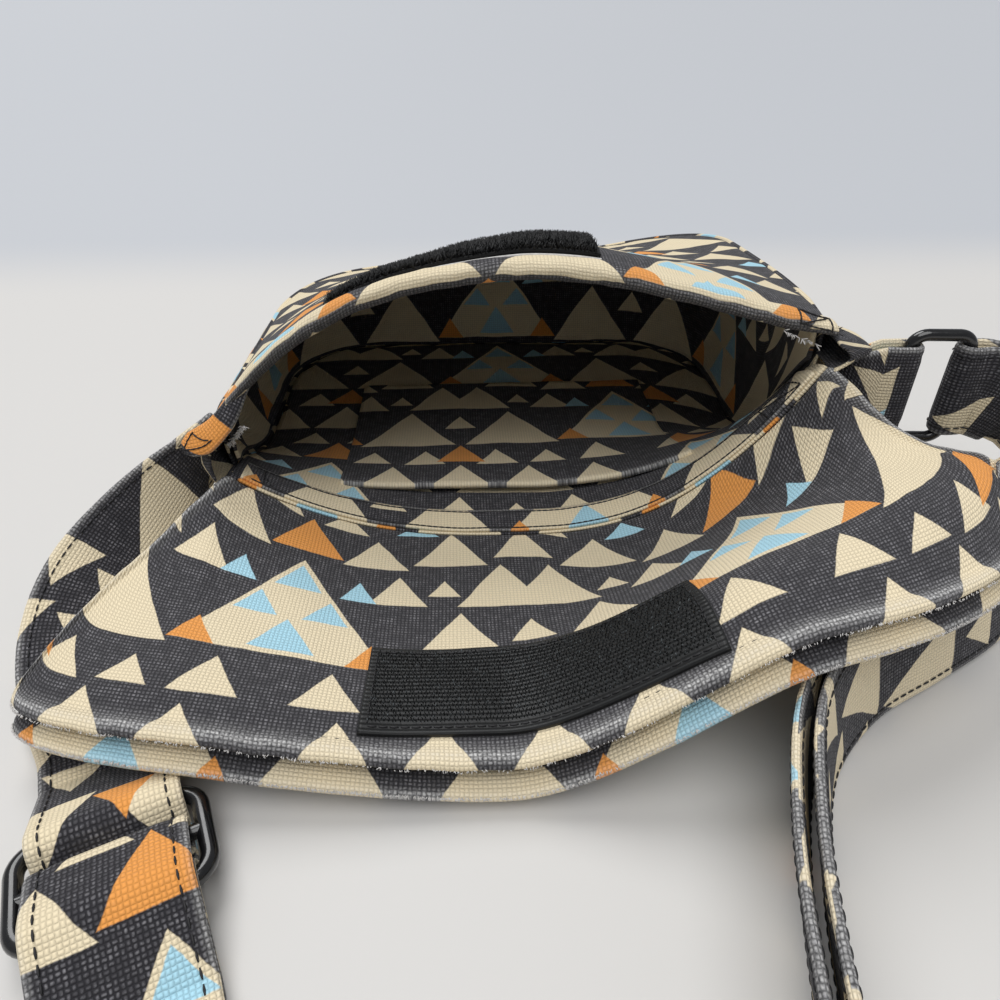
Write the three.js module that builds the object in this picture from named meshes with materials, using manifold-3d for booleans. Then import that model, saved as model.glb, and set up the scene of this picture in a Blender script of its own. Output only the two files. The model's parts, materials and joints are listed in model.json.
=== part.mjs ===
// Soft crossbody bag of printed canvas, lying on its back with its mouth open and its flap turned out.
// Millimetres, +Z up. The mouth faces -Y, and the bag's bottom seam is at +Y.
// The origin is the middle of the back panel's outer face, on the surface that the bag lies on.
import * as THREE from 'three';
import { mergeVertices } from 'three/addons/utils/BufferGeometryUtils.js';
import Module from 'manifold-3d';

const wasm = await Module();
wasm.setup();

// Cloth and the gap that two sewn layers keep
const canvasThickness = 1.2;
const layerGap = 0.5;
const sewnOnGap = 0.7;
const gussetLiningGap = 0.8;
const tapeSeatGap = 0.9;

// Body of the bag
const bodyLength = 165;
const bodyHalfWidth = 100;
const mouthHalfWidth = 97;
const mouthTaperLength = 70;
const leftBulge = 13;
const rightBulge = 6;
const bulgeLength = 55;
const bottomCornerRadius = 42;
const seamBite = 0.04;

// Heights of the front's seams: the left side has sunk, and the right side stands
const rimLeftHeight = 42;
const rimRightHeight = 71;
const bottomLeftHeight = 35;
const bottomRightHeight = 60;
const bottomMiddleHeight = 45;

// Mouth: the front rim arches up, and the back edge sags between two lifted corners
const rimPeak = 95;
const rimCornerSetback = 5;
const rimPeakSetback = 8;
const rimHemWidth = 10;
const rimHemRadius = 3.4;
const rimDip = 3;
const rimDipRamp = [12, 26];
const rimDipPower = 4;
const backLeftLift = 27;
const backRightLift = 64;
const backLiftLength = 75;
const leftCrownPower = 2.8;
const rightCrownPower = 1.4;
const sagPower = 2.7;
const frontSwell = 8;
const frontSwellPlace = [24, 44];
const frontSwellSize = [44, 34];

// Flap
const flapLength = 100;
const flapLeftLength = 82;
const flapRightLength = 50;
const flapHalfWidth = 130;
const flapOverhang = 3;
const flapLayerGap = 0.9;
const flapCentreLift = 5;
const flapLeftLift = 13;
const flapRightLift = 38;
const flapLeftRise = [20, 90];
const flapRightRise = [-12, 62];
const flapLowRamp = [0.2, 0.95];
const flapHighRamp = [0.1, 0.8];
const flapSagPower = 1.3;
const flapLayerSpread = 4;
const flapSpreadFrom = 45;
const flapHemWidth = 7;
const flapHemPuff = 1.3;

// Hook and loop tapes
const tapeLength = 85;
const tapeWidth = 33;
const hookTapeThickness = 2;
const hookTapeFromFold = 58;
const hookTapeAside = -3;
const loopTapeThickness = 3;
const loopTapeFromRim = 12;
const loopTapeAside = -18;

// Facing band inside the mouth, along the fold
const facingWidth = 12;
const facingInset = 5;

// Slip pocket on the back lining
const pocketHalfWidth = 64;
const pocketFromFold = 24;
const pocketDepth = 90;
const pocketLift = 4;

// Strap, slider and ring
const strapWidth = 32;
const strapThickness = 2.4;
const strapPinchWidth = 20;
const strapAnchorFrom = 36;
const strapAnchorTo = 20;
const strapRunSpread = 2.2;
const strapTableGap = 0.3;
const strapLay = 74;
const strapEasing = 10;
const strapWrapTurn = 335;
const strapStackRamp = [0.06, 0.25];
const strapRingRamp = [0.86, 0.98];
const tabRingRamp = [0.4, 0.95];
const hardwareClearance = 0.4;
const sliderPlace = [-95, -116];
const sliderTurn = 24;
const sliderWireRadius = 2;
const sliderBarRadius = 1.8;
const sliderSlotRoom = 1.2;
const sliderCornerRadius = 5;
const strapRiseAngle = 62;
const ringWireRadius = 2;
const ringPitch = 20;
const ringCornerRadius = 5;
const ringFromSide = 47;
const ringFromMouth = 14;
const ringHeight = 48;
const ringTurn = 176;

const canvasLook = { color: 0x9c8f7d, roughness: 0.92, metalness: 0 };
const liningLook = { color: 0x5f5a58, roughness: 0.95, metalness: 0 };
const tapeLook = { color: 0x101012, roughness: 0.85, metalness: 0 };
const metalLook = { color: 0x17171a, roughness: 0.3, metalness: 0.9 };

const mouthY = -bodyLength / 2;
const up = new THREE.Vector3(0, 0, 1);
const radians = THREE.MathUtils.degToRad;
const mix = THREE.MathUtils.lerp;
const smooth = (from, to, x) => THREE.MathUtils.smoothstep(x, from, to);
const steps = (count) => Array.from({ length: count + 1 }, (_, i) => i / count);
const bothWays = (count, power) => steps(count).map((t) => {
  const side = 2 * t - 1;
  return Math.sign(side) * (1 - (1 - Math.abs(side)) ** power);
});

// A closed thin solid between two surfaces that share the same grid of parameters.
function slab(us, vs, outer, inner) {
  const points = [outer, inner].flatMap((face) => us.flatMap((u) => vs.map((v) => face(u, v))));
  const rows = vs.length;
  const layer = us.length * rows;
  const at = (i, j, side) => side * layer + i * rows + j;
  const index = [];
  const quad = (a, b, c, d) => index.push(a, b, c, a, c, d);
  for (let i = 0; i + 1 < us.length; i++) {
    for (let j = 0; j + 1 < rows; j++) {
      quad(at(i, j, 0), at(i + 1, j, 0), at(i + 1, j + 1, 0), at(i, j + 1, 0));
      quad(at(i, j, 1), at(i, j + 1, 1), at(i + 1, j + 1, 1), at(i + 1, j, 1));
    }
    quad(at(i, 0, 0), at(i, 0, 1), at(i + 1, 0, 1), at(i + 1, 0, 0));
    quad(at(i, rows - 1, 0), at(i + 1, rows - 1, 0), at(i + 1, rows - 1, 1), at(i, rows - 1, 1));
  }
  const last = us.length - 1;
  for (let j = 0; j + 1 < rows; j++) {
    quad(at(0, j, 0), at(0, j + 1, 0), at(0, j + 1, 1), at(0, j, 1));
    quad(at(last, j, 0), at(last, j, 1), at(last, j + 1, 1), at(last, j + 1, 0));
  }
  return facingOut(points, index);
}

// Turns the triangles round where they enclose a negative volume.
function facingOut(points, index) {
  let volume = 0;
  for (let i = 0; i < index.length; i += 3) {
    const [a, b, c] = [points[index[i]], points[index[i + 1]], points[index[i + 2]]];
    volume += a.dot(new THREE.Vector3().crossVectors(b, c));
  }
  if (volume < 0) index.reverse();
  const geometry = new THREE.BufferGeometry().setFromPoints(points);
  geometry.setIndex(index);
  return geometry;
}

// A strip or wire: one section carried along frames, each a place, a direction across and a section.
function skin(frames, closed) {
  const count = frames.length;
  const sides = frames[0].section.length;
  const points = [];
  frames.forEach((frame, i) => {
    const before = frames[closed ? (i + count - 1) % count : Math.max(i - 1, 0)].at;
    const after = frames[closed ? (i + 1) % count : Math.min(i + 1, count - 1)].at;
    const along = new THREE.Vector3().subVectors(after, before).normalize();
    const across = frame.across.clone().addScaledVector(along, -frame.across.dot(along)).normalize();
    const normal = new THREE.Vector3().crossVectors(along, across);
    for (const [a, n] of frame.section) {
      points.push(frame.at.clone().addScaledVector(across, a).addScaledVector(normal, n));
    }
  });
  const index = [];
  for (let i = 0; i < (closed ? count : count - 1); i++) {
    const next = ((i + 1) % count) * sides;
    for (let k = 0; k < sides; k++) {
      const l = (k + 1) % sides;
      index.push(i * sides + k, i * sides + l, next + l, i * sides + k, next + l, next + k);
    }
  }
  if (!closed) {
    const end = (count - 1) * sides;
    for (let k = 1; k + 1 < sides; k++) {
      index.push(0, k + 1, k, end, end + k, end + k + 1);
    }
  }
  return facingOut(points, index);
}

// Section of the folded strap: flat faces with turned, rounded edges.
function strapSection(width) {
  const flat = width / 2 - strapThickness / 2;
  const half = strapThickness / 2;
  return [[width / 2, 0], [flat, half], [-flat, half], [-width / 2, 0], [-flat, -half], [flat, -half]];
}

function wireSection(radius) {
  const sides = 8;
  return Array.from({ length: sides }, (_, k) => {
    const angle = (2 * Math.PI * k) / sides;
    return [radius * Math.cos(angle), radius * Math.sin(angle)];
  });
}

// Half of the bag's width at a distance from the mouth, measured to a line that runs inside the outline.
function halfWidth(fromMouth, inset = 0) {
  const side = mix(mouthHalfWidth, bodyHalfWidth, smooth(0, mouthTaperLength, fromMouth)) - inset;
  const corner = bottomCornerRadius - inset;
  const past = fromMouth - (bodyLength - bottomCornerRadius);
  return past > 0 ? side - corner + Math.sqrt(Math.max(0, corner ** 2 - past ** 2)) : side;
}

// How far to the side a place of the plan lies, from -1 at the left seam to 1 at the right one.
const sideways = (x) => THREE.MathUtils.clamp(x / bodyHalfWidth, -1, 1);

// How much longer than its plan a surface is where it slopes, so that layers keep their gap there.
function steepness(height, x, fromMouth) {
  const here = height(x, fromMouth);
  return Math.hypot(1, height(x + 1, fromMouth) - here, height(x, fromMouth + 1) - here);
}

// Height of the underside of the front panel, and of the back panel, at a place of the plan.
function frontHeight(x, fromMouth) {
  const u = sideways(x);
  const t = fromMouth / bodyLength;
  const left = mix(rimLeftHeight, bottomLeftHeight, t);
  const right = mix(rimRightHeight, bottomRightHeight, t * t);
  const middle = mix(rimPeak, bottomMiddleHeight, t);
  const aside = (x - frontSwellPlace[0]) / frontSwellSize[0];
  const behind = (fromMouth - frontSwellPlace[1]) / frontSwellSize[1];
  const swell = frontSwell * Math.exp(-(aside ** 2) - behind ** 2);
  const edge = u < 0 ? left : right;
  const power = u < 0 ? leftCrownPower : rightCrownPower;
  const dip = rimDip * (1 - u ** rimDipPower) * (1 - smooth(...rimDipRamp, fromMouth));
  return edge + (middle - edge) * (1 - Math.abs(u) ** power) + swell - dip;
}

function backHeight(x, fromMouth) {
  const u = sideways(x);
  const lift = u < 0 ? backLeftLift : backRightLift;
  return lift * Math.abs(u) ** sagPower * (1 - smooth(0, backLiftLength, fromMouth));
}

const place = (x, fromMouth, z) => new THREE.Vector3(x, mouthY + fromMouth, z);
const rimSetback = (u) => mix(rimPeakSetback, rimCornerSetback, u * u);
const foldSetback = (u) => rimCornerSetback * u * u;

// Front panel: one sheet with a puffy turned hem along its arched rim.
function frontPanel() {
  const hemRows = [0, 0.07, 0.25, 0.5, 0.75, 0.93].map((t) => t * rimHemWidth);
  const plainRows = 9;
  const vs = [...hemRows.keys(), ...Array.from({ length: plainRows + 1 }, (_, i) => hemRows.length + i)];
  const distance = (u, row) => {
    const whole = bodyLength - rimSetback(u);
    const plain = row - hemRows.length;
    return plain < 0 ? hemRows[row] : mix(rimHemWidth, whole, plain / plainRows);
  };
  const face = (side) => (u, row) => {
    const fromRim = distance(u, row);
    const s = rimSetback(u) + fromRim;
    const x = u * halfWidth(s);
    const t = 2 * fromRim / rimHemWidth - 1;
    const roll = t < 1 ? rimHemRadius * Math.sqrt(1 - t * t) : 0;
    const half = Math.max(canvasThickness / 2, roll);
    return place(x, s, frontHeight(x, s) + canvasThickness / 2 + side * half);
  };
  return slab(bothWays(22, 1.2), vs, face(1), face(-1));
}

function frontLining() {
  const inset = canvasThickness + layerGap;
  const face = (drop) => (u, v) => {
    const s = mix(rimSetback(u) + rimHemWidth + layerGap, bodyLength - inset, v);
    const x = u * halfWidth(s, inset);
    return place(x, s, frontHeight(x, s) - drop);
  };
  return slab(bothWays(18, 1.2), steps(9), face(layerGap), face(layerGap + canvasThickness));
}

// A sheet of the back, at a level above the table and inside the outline by an inset.
function backSheet(level, inset) {
  const face = (lift) => (u, v) => {
    const s = mix(foldSetback(u), bodyLength - inset, v);
    const x = u * halfWidth(s, inset);
    return place(x, s, backHeight(x, s) + lift * steepness(backHeight, x, s));
  };
  return slab(bothWays(16, 1.2), steps(12), face(level + canvasThickness), face(level));
}

// Route of the gusset in plan: left side, bottom and right side, with the two rounded corners.
function gussetRoute(inset) {
  const start = rimCornerSetback + rimHemWidth + layerGap;
  const straight = bodyLength - bottomCornerRadius;
  const radius = bottomCornerRadius - inset;
  const side = [0, 0.12, 0.25, 0.4, 0.6, 0.8].map((t) => mix(start, straight, t));
  const turns = steps(6).map((t) => (t * Math.PI) / 2);
  const right = side.map((s) => [halfWidth(s, inset), s]);
  right.push(...turns.map((a) => [
    bodyHalfWidth - bottomCornerRadius + radius * Math.cos(a),
    straight + radius * Math.sin(a),
  ]));
  const bottom = steps(8).slice(1, -1).map((t) => [
    mix(bodyHalfWidth - bottomCornerRadius, bottomCornerRadius - bodyHalfWidth, t),
    bodyLength - inset,
  ]);
  const left = right.map(([x, s]) => [-x, s]).reverse();
  return [...right, ...bottom, ...left];
}

function bulgeAt(x, s) {
  const most = mix(leftBulge, rightBulge, smooth(-bodyHalfWidth, bodyHalfWidth, x));
  return most * smooth(rimCornerSetback, bulgeLength, s);
}

// One layer of the gusset wall between the sheets of the back and of the front.
function gussetWall(inset, foot, head) {
  const outline = gussetRoute(0);
  const levels = steps(4);
  const face = (depth) => (i, w) => {
    const [x, s] = outline[i];
    const low = backHeight(x, s);
    const high = Math.min(frontHeight(x, s), frontHeight(x * (1 - seamBite), s));
    const lowest = low + foot * steepness(backHeight, x, s);
    const z = THREE.MathUtils.clamp(mix(low, high, w), lowest, high - head);
    const bulge = bulgeAt(x, s) * Math.sin((Math.PI * (z - low)) / (high - low));
    const [px, ps] = gussetRoute(inset + depth - bulge)[i];
    return place(px, ps, z);
  };
  return slab([...outline.keys()], levels, face(0), face(canvasThickness));
}

// Plan of the flap: it leaves the fold as wide as the mouth and flares to a rounded edge.
function flapPlan(u, v, overhang) {
  const angle = (u * Math.PI) / 2;
  const foldX = u * halfWidth(foldSetback(u));
  const edgeX = flapHalfWidth * Math.sin(angle);
  const reach = mix(u < 0 ? flapLeftLength : flapRightLength, flapLength, Math.cos(angle)) + overhang;
  const x = mix(foldX, edgeX, 1 - (1 - v) ** 2);
  return [x, foldSetback(u) - layerGap - reach * v];
}

// Height of the flap's lower layer: it sags from the fold and lies over the strap at the right.
function flapHeight(x, fromMouth) {
  const outside = Math.min(1, Math.abs(x) / flapHalfWidth);
  const sideLength = x < 0 ? flapLeftLength : flapRightLength;
  const reach = mix(sideLength, flapLength, Math.sqrt(1 - outside ** 2));
  const u = Math.min(1, Math.abs(x) / mouthHalfWidth);
  const v = THREE.MathUtils.clamp((foldSetback(u) - fromMouth) / reach, 0, 1);
  const fold = backHeight(Math.sign(x) * u * halfWidth(foldSetback(u)), foldSetback(u));
  const low = mix(flapCentreLift, flapLeftLift, smooth(...flapLeftRise, -x));
  const high = (flapRightLift - flapCentreLift) * smooth(...flapRightRise, x);
  return fold * (1 - v) ** flapSagPower + low * smooth(...flapLowRamp, v) + high * smooth(...flapHighRamp, v);
}

const flapSpread = (fromMouth) => flapLayerSpread * smooth(flapSpreadFrom, flapLength, -fromMouth);

function flapLayer(isLining) {
  const base = isLining ? canvasThickness + flapLayerGap : 0;
  const face = (top) => (u, v) => {
    const [x, s] = flapPlan(u, v, isLining ? 0 : flapOverhang);
    const apart = isLining ? flapSpread(s) : 0;
    const fromEdge = Math.min((1 - v) * flapLength, (1 - Math.abs(u)) * flapHalfWidth);
    const roll = flapHemPuff * Math.sin(Math.PI * Math.min(1, fromEdge / flapHemWidth));
    const lift = top ? canvasThickness + (isLining ? roll : 0) : -(isLining ? 0 : roll);
    return place(x, s, flapHeight(x, s) + base * steepness(flapHeight, x, s) + apart + lift);
  };
  const vs = steps(11).map((t) => 1 - (1 - t) ** 1.5);
  return slab(bothWays(30, 0.72), vs, face(true), face(false));
}

function hookTape() {
  const seat = 2 * canvasThickness + flapLayerGap + tapeSeatGap;
  const face = (lift) => (u, v) => {
    const x = hookTapeAside + (u * tapeLength) / 2;
    const s = -hookTapeFromFold - tapeWidth * v;
    return place(x, s, flapHeight(x, s) + flapSpread(s) + seat * steepness(flapHeight, x, s) + lift);
  };
  return slab(bothWays(16, 1), steps(4), face(hookTapeThickness), face(0));
}

function loopTape() {
  const face = (lift) => (u, v) => {
    const x = loopTapeAside + (u * tapeLength) / 2;
    const s = rimSetback(x / mouthHalfWidth) + loopTapeFromRim + tapeWidth * v;
    return place(x, s, frontHeight(x, s) + canvasThickness + tapeSeatGap + lift);
  };
  return slab(bothWays(14, 1), steps(4), face(loopTapeThickness), face(0));
}

// Height above the back of a piece that is sewn on its lining.
const liningSeat = 2 * canvasThickness + layerGap + sewnOnGap;

function mouthFacing() {
  const face = (lift) => (u, v) => {
    const s = foldSetback(u) + mix(layerGap, facingWidth, v);
    const x = u * halfWidth(s, facingInset);
    return place(x, s, backHeight(x, s) + liningSeat * steepness(backHeight, x, s) + lift);
  };
  return slab(bothWays(20, 1.2), steps(3), face(canvasThickness), face(0));
}

function innerPocket() {
  const face = (lift) => (u, v) => {
    const x = u * pocketHalfWidth;
    const s = pocketFromFold + pocketDepth * v;
    const open = pocketLift * (1 - v) ** 3 * (1 - u * u);
    return place(x, s, backHeight(x, s) + liningSeat * steepness(backHeight, x, s) + open + lift);
  };
  return slab(bothWays(10, 1), steps(7), face(canvasThickness), face(0));
}

// Frames along a smooth line through hand-placed points [x, from mouth, height, tilt, width].
function route(points, perSpan) {
  const line = new THREE.CatmullRomCurve3(points.map(([x, s, z]) => place(x, s, z)));
  const spans = points.length - 1;
  return steps(spans * perSpan).map((t) => {
    const k = Math.min(Math.floor(t * spans), spans - 1);
    const blend = t * spans - k;
    const along = line.getTangent(t);
    const left = new THREE.Vector3().crossVectors(up, along).normalize();
    const tilt = radians(mix(points[k][3], points[k + 1][3], blend));
    const across = left.multiplyScalar(Math.cos(tilt)).addScaledVector(up, Math.sin(tilt));
    const normal = new THREE.Vector3().crossVectors(along, across).normalize();
    const width = mix(points[k][4], points[k + 1][4], blend);
    return { at: line.getPoint(t), across, along, normal, section: strapSection(width), t };
  });
}

// Lifts a frame whose strip, spread to both sides, would reach below the table.
function onTable(frame, spread) {
  const edge = Math.abs(frame.across.z) * Math.max(...frame.section.map(([a]) => a));
  const thick = Math.abs(frame.normal.z) * (strapThickness / 2 + spread);
  const low = frame.at.z - edge - thick - strapTableGap;
  return low < 0 ? { ...frame, at: frame.at.clone().addScaledVector(up, -low) } : frame;
}

const moved = (frame, distance) => ({
  ...frame,
  at: frame.at.clone().addScaledVector(frame.normal, distance),
});

// Half turn of a strip round a bar, from one run of a doubled strip to the other.
function halfTurn(frame, radius) {
  return steps(8).slice(1, -1).map((t) => {
    const angle = t * Math.PI;
    const at = frame.at.clone().addScaledVector(frame.normal, -radius * Math.cos(angle));
    return { ...frame, at: at.addScaledVector(frame.along, radius * Math.sin(angle)) };
  });
}

// Slider: its bars, and the strap's way over its ends and under its middle.
const overRadius = sliderWireRadius + hardwareClearance + strapThickness / 2;
const wrapRadius = sliderBarRadius + hardwareClearance + strapThickness / 2;
const underRadius = wrapRadius + strapThickness + hardwareClearance;
const sliderPitch = underRadius + overRadius + sliderSlotRoom;
const sliderHeight = strapTableGap + underRadius + strapThickness / 2;
const stackStep = strapThickness + hardwareClearance;
const crossAngle = Math.acos((underRadius + overRadius) / sliderPitch);
const topAngle = Math.asin((overRadius + stackStep - wrapRadius) / sliderPitch);
const riseAngle = radians(strapRiseAngle);
const footDistance = sliderPitch + overRadius * Math.cos(riseAngle)
  + (underRadius + overRadius * Math.sin(riseAngle)) * Math.tan(riseAngle);
const sliderAlong = new THREE.Vector3(
  Math.sin(radians(sliderTurn)), -Math.cos(radians(sliderTurn)), 0);
const sliderAcross = new THREE.Vector3().crossVectors(up, sliderAlong);
const sliderCentre = place(...sliderPlace, sliderHeight);

function sliderFrame(along, rise) {
  const at = sliderCentre.clone().addScaledVector(sliderAlong, along).addScaledVector(up, rise);
  return { at, across: sliderAcross, section: strapSection(strapWidth) };
}

function sliderArc(centre, radius, from, to, count) {
  return steps(count).map((t) => {
    const angle = mix(from, to, t);
    return sliderFrame(centre + radius * Math.cos(angle), radius * Math.sin(angle));
  });
}

// Ring: it stands between the strap's turn and the loop of its tab.
const ringAlong = new THREE.Vector3(Math.cos(radians(ringTurn)), Math.sin(radians(ringTurn)), 0);
const ringOuterBar = place(bodyHalfWidth + ringFromSide, ringFromMouth, ringHeight);
const ringInnerBar = ringOuterBar.clone().addScaledVector(ringAlong, ringPitch);
const turnRadius = ringWireRadius + hardwareClearance + strapThickness / 2;

// Where a strip lies on the outside of the gusset: three spots on its sewn end, and their place.
const anchorSpots = [strapAnchorFrom, (strapAnchorFrom + strapAnchorTo) / 2, strapAnchorTo];
const anchorLeave = [0, 0.3, 1.8];
const gussetFace = (side, s, off) =>
  side * (halfWidth(s) + bulgeAt(side * bodyHalfWidth, s) + layerGap + off);
const gussetMiddle = (x, s) => (backHeight(x, s) + frontHeight(x, s)) / 2;

function strap() {
  const rest = (tilt, spread) => {
    const angle = radians(tilt);
    const edge = (strapWidth / 2) * Math.abs(Math.sin(angle));
    return strapTableGap + edge + (strapThickness / 2 + spread) * Math.cos(angle);
  };
  const foot = (distance) => {
    const at = sliderCentre.clone().addScaledVector(sliderAlong, distance);
    return [at.x, at.y - mouthY];
  };
  const half = strapThickness / 2;
  const sewn = (s, i) => [
    gussetFace(-1, s, half) - anchorLeave[i], s, gussetMiddle(-bodyHalfWidth, s), -90, strapPinchWidth];
  const single = route([
    ...anchorSpots.map(sewn),
    [gussetFace(-1, strapAnchorTo, half) - 7, strapAnchorTo - 9, 28, -88, strapPinchWidth + 4],
    [-120, -4, 19, -62, strapWidth - 3],
    [-129, -22, rest(40, 0), -40, strapWidth],
    [-130, -42, rest(20, 0), -20, strapWidth],
    [-123, -62, rest(7, 0), -7, strapWidth],
    [...foot(-footDistance - strapEasing), rest(2, 0), -2, strapWidth],
    [...foot(-footDistance), rest(0, 0), 0, strapWidth],
  ], 3).map((frame) => onTable(frame, 0));
  const doubled = (x, s, tilt) => [x, s, rest(tilt, tilt ? strapRunSpread : stackStep / 2), tilt, strapWidth];
  const base = route([
    doubled(...foot(footDistance), 0),
    doubled(...foot(footDistance + 28), 0),
    doubled(-56, -192, 20),
    doubled(-45, -220, 46),
    doubled(-29, -245, 66),
    doubled(-4, -258, strapLay),
    doubled(21, -250, strapLay),
    doubled(34, -224, strapLay),
    doubled(38, -190, strapLay),
    doubled(42, -158, strapLay),
    doubled(50, -126, strapLay),
    doubled(63, -97, strapLay),
    doubled(83, -78, strapLay),
    doubled(106, -66, strapLay),
    doubled(130, -53, strapLay),
    doubled(151, -37, strapLay),
    [ringOuterBar.x + 20, -16, 28, 80, strapWidth],
    [ringOuterBar.x + 22, 4, 42, 88, strapWidth],
    [ringOuterBar.x + 8, ringFromMouth - 0.6, ringHeight, 90, strapWidth],
    [ringOuterBar.x, ringFromMouth, ringHeight, 90, strapWidth],
  ], 3);
  const opened = (t) => mix(stackStep / 2, strapRunSpread, smooth(...strapStackRamp, t));
  const spread = (t) => mix(opened(t), turnRadius, smooth(...strapRingRamp, t));
  const laid = base.map((frame) => onTable(frame, spread(frame.t)));
  const out = laid.map((frame) => moved(frame, -spread(frame.t)));
  const back = laid.map((frame) => moved(frame, spread(frame.t))).reverse();
  const turn = halfTurn(base[base.length - 1], turnRadius);
  const farOver = sliderArc(-sliderPitch, overRadius, Math.PI - riseAngle, crossAngle, 5);
  const under = sliderArc(0, underRadius, Math.PI + crossAngle, 2 * Math.PI - crossAngle, 6);
  const nearOver = sliderArc(sliderPitch, overRadius, Math.PI - crossAngle, riseAngle, 5);
  const nearTop = sliderArc(sliderPitch, overRadius + stackStep, riseAngle, Math.PI / 2 + topAngle, 3);
  const wrap = sliderArc(0, wrapRadius, Math.PI / 2 + topAngle, radians(strapWrapTurn), 9);
  return skin([...single, ...farOver, ...under, ...nearOver, ...out, ...turn, ...back, ...nearTop, ...wrap]);
}

function ringTab() {
  const stack = stackStep / 2;
  const off = strapThickness / 2 + stack;
  const sewn = (s, i) => [gussetFace(1, s, off) + anchorLeave[i], s, ringHeight, 90, strapPinchWidth];
  const inner = ringInnerBar;
  const base = route([
    ...anchorSpots.map(sewn),
    [gussetFace(1, strapAnchorTo, off) + 8, inner.y - mouthY + 1, ringHeight, 90, strapWidth - 6],
    [inner.x - 8, inner.y - mouthY + 0.4, ringHeight, 90, strapWidth],
    [inner.x, inner.y - mouthY, ringHeight, 90, strapWidth],
  ], 3);
  const spread = (t) => mix(stack, turnRadius, smooth(...tabRingRamp, t));
  const out = base.map((frame) => moved(frame, -spread(frame.t)));
  const back = base.map((frame) => moved(frame, spread(frame.t))).reverse();
  return skin([...out, ...halfTurn(base[base.length - 1], turnRadius), ...back]);
}

// A closed wire loop with rounded corners, in the plane of two directions.
function wireLoop(centre, along, across, halfLength, halfBreadth, corner, radius) {
  const normal = new THREE.Vector3().crossVectors(along, across);
  const frames = [];
  for (const [sideA, sideB, first] of [[1, 1, 0], [-1, 1, 90], [-1, -1, 180], [1, -1, 270]]) {
    for (const t of steps(5)) {
      const angle = radians(first + 90 * t);
      const a = sideA * (halfLength - corner) + corner * Math.cos(angle);
      const b = sideB * (halfBreadth - corner) + corner * Math.sin(angle);
      const at = centre.clone().addScaledVector(along, a).addScaledVector(across, b);
      frames.push({ at, across: normal, section: wireSection(radius) });
    }
  }
  return skin(frames, true);
}

function solid(geometry) {
  const bare = mergeVertices(geometry);
  return new wasm.Manifold(new wasm.Mesh({
    numProp: 3,
    vertProperties: Float32Array.from(bare.attributes.position.array),
    triVerts: Uint32Array.from(bare.index.array),
  }));
}

function joined(first, second) {
  const mesh = solid(first).add(solid(second)).getMesh();
  const geometry = new THREE.BufferGeometry();
  geometry.setAttribute('position', new THREE.BufferAttribute(mesh.vertProperties, 3));
  geometry.setIndex(new THREE.BufferAttribute(mesh.triVerts, 1));
  return geometry;
}

const frameHalfBreadth = (wire) => strapWidth / 2 + 2 * hardwareClearance + wire;

function slider() {
  const halfBreadth = frameHalfBreadth(sliderWireRadius);
  const frame = wireLoop(sliderCentre, sliderAlong, sliderAcross, sliderPitch, halfBreadth,
    sliderCornerRadius, sliderWireRadius);
  const bar = skin([-1, 1].map((side) => ({
    at: sliderCentre.clone().addScaledVector(sliderAcross, side * halfBreadth),
    across: up,
    section: wireSection(sliderBarRadius),
  })));
  return joined(frame, bar);
}

function ring() {
  const centre = ringOuterBar.clone().lerp(ringInnerBar, 0.5);
  return wireLoop(centre, ringAlong, up, ringPitch / 2, frameHalfBreadth(ringWireRadius),
    ringCornerRadius, ringWireRadius);
}

const layer = canvasThickness + layerGap;
const pieces = [
  ['front_panel', frontPanel(), canvasLook],
  ['front_lining', frontLining(), liningLook],
  ['back_panel', backSheet(0, 0), canvasLook],
  ['back_lining', backSheet(layer, layer), liningLook],
  ['gusset', gussetWall(0, layer, layerGap), canvasLook],
  ['gusset_lining', gussetWall(canvasThickness + gussetLiningGap, 2 * layer, layer + layerGap), liningLook],
  ['flap_outer', flapLayer(false), canvasLook],
  ['flap_lining', flapLayer(true), canvasLook],
  ['hook_tape', hookTape(), tapeLook],
  ['loop_tape', loopTape(), tapeLook],
  ['mouth_facing', mouthFacing(), canvasLook],
  ['inner_pocket', innerPocket(), liningLook],
  ['strap', strap(), canvasLook],
  ['ring_tab', ringTab(), canvasLook],
  ['slider', slider(), metalLook],
  ['ring', ring(), metalLook],
];

const bag = new THREE.Group();
for (const [name, geometry, look] of pieces) {
  const mesh = new THREE.Mesh(geometry, new THREE.MeshStandardMaterial(look));
  mesh.name = name;
  bag.add(mesh);
}

export default bag;
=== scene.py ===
# %% [markdown]
# # A printed canvas crossbody bag
# The bag lies on its back with the mouth towards the camera and the flap turned out.
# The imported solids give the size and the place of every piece. This lesson dresses them in cloth:
# each panel becomes a fine sheet with hems, stitches, weave and wear.

# %% Load the frame
import json
import math
import random

import bmesh
import bpy
import numpy as np
from mathutils import Matrix, Vector, noise

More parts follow.
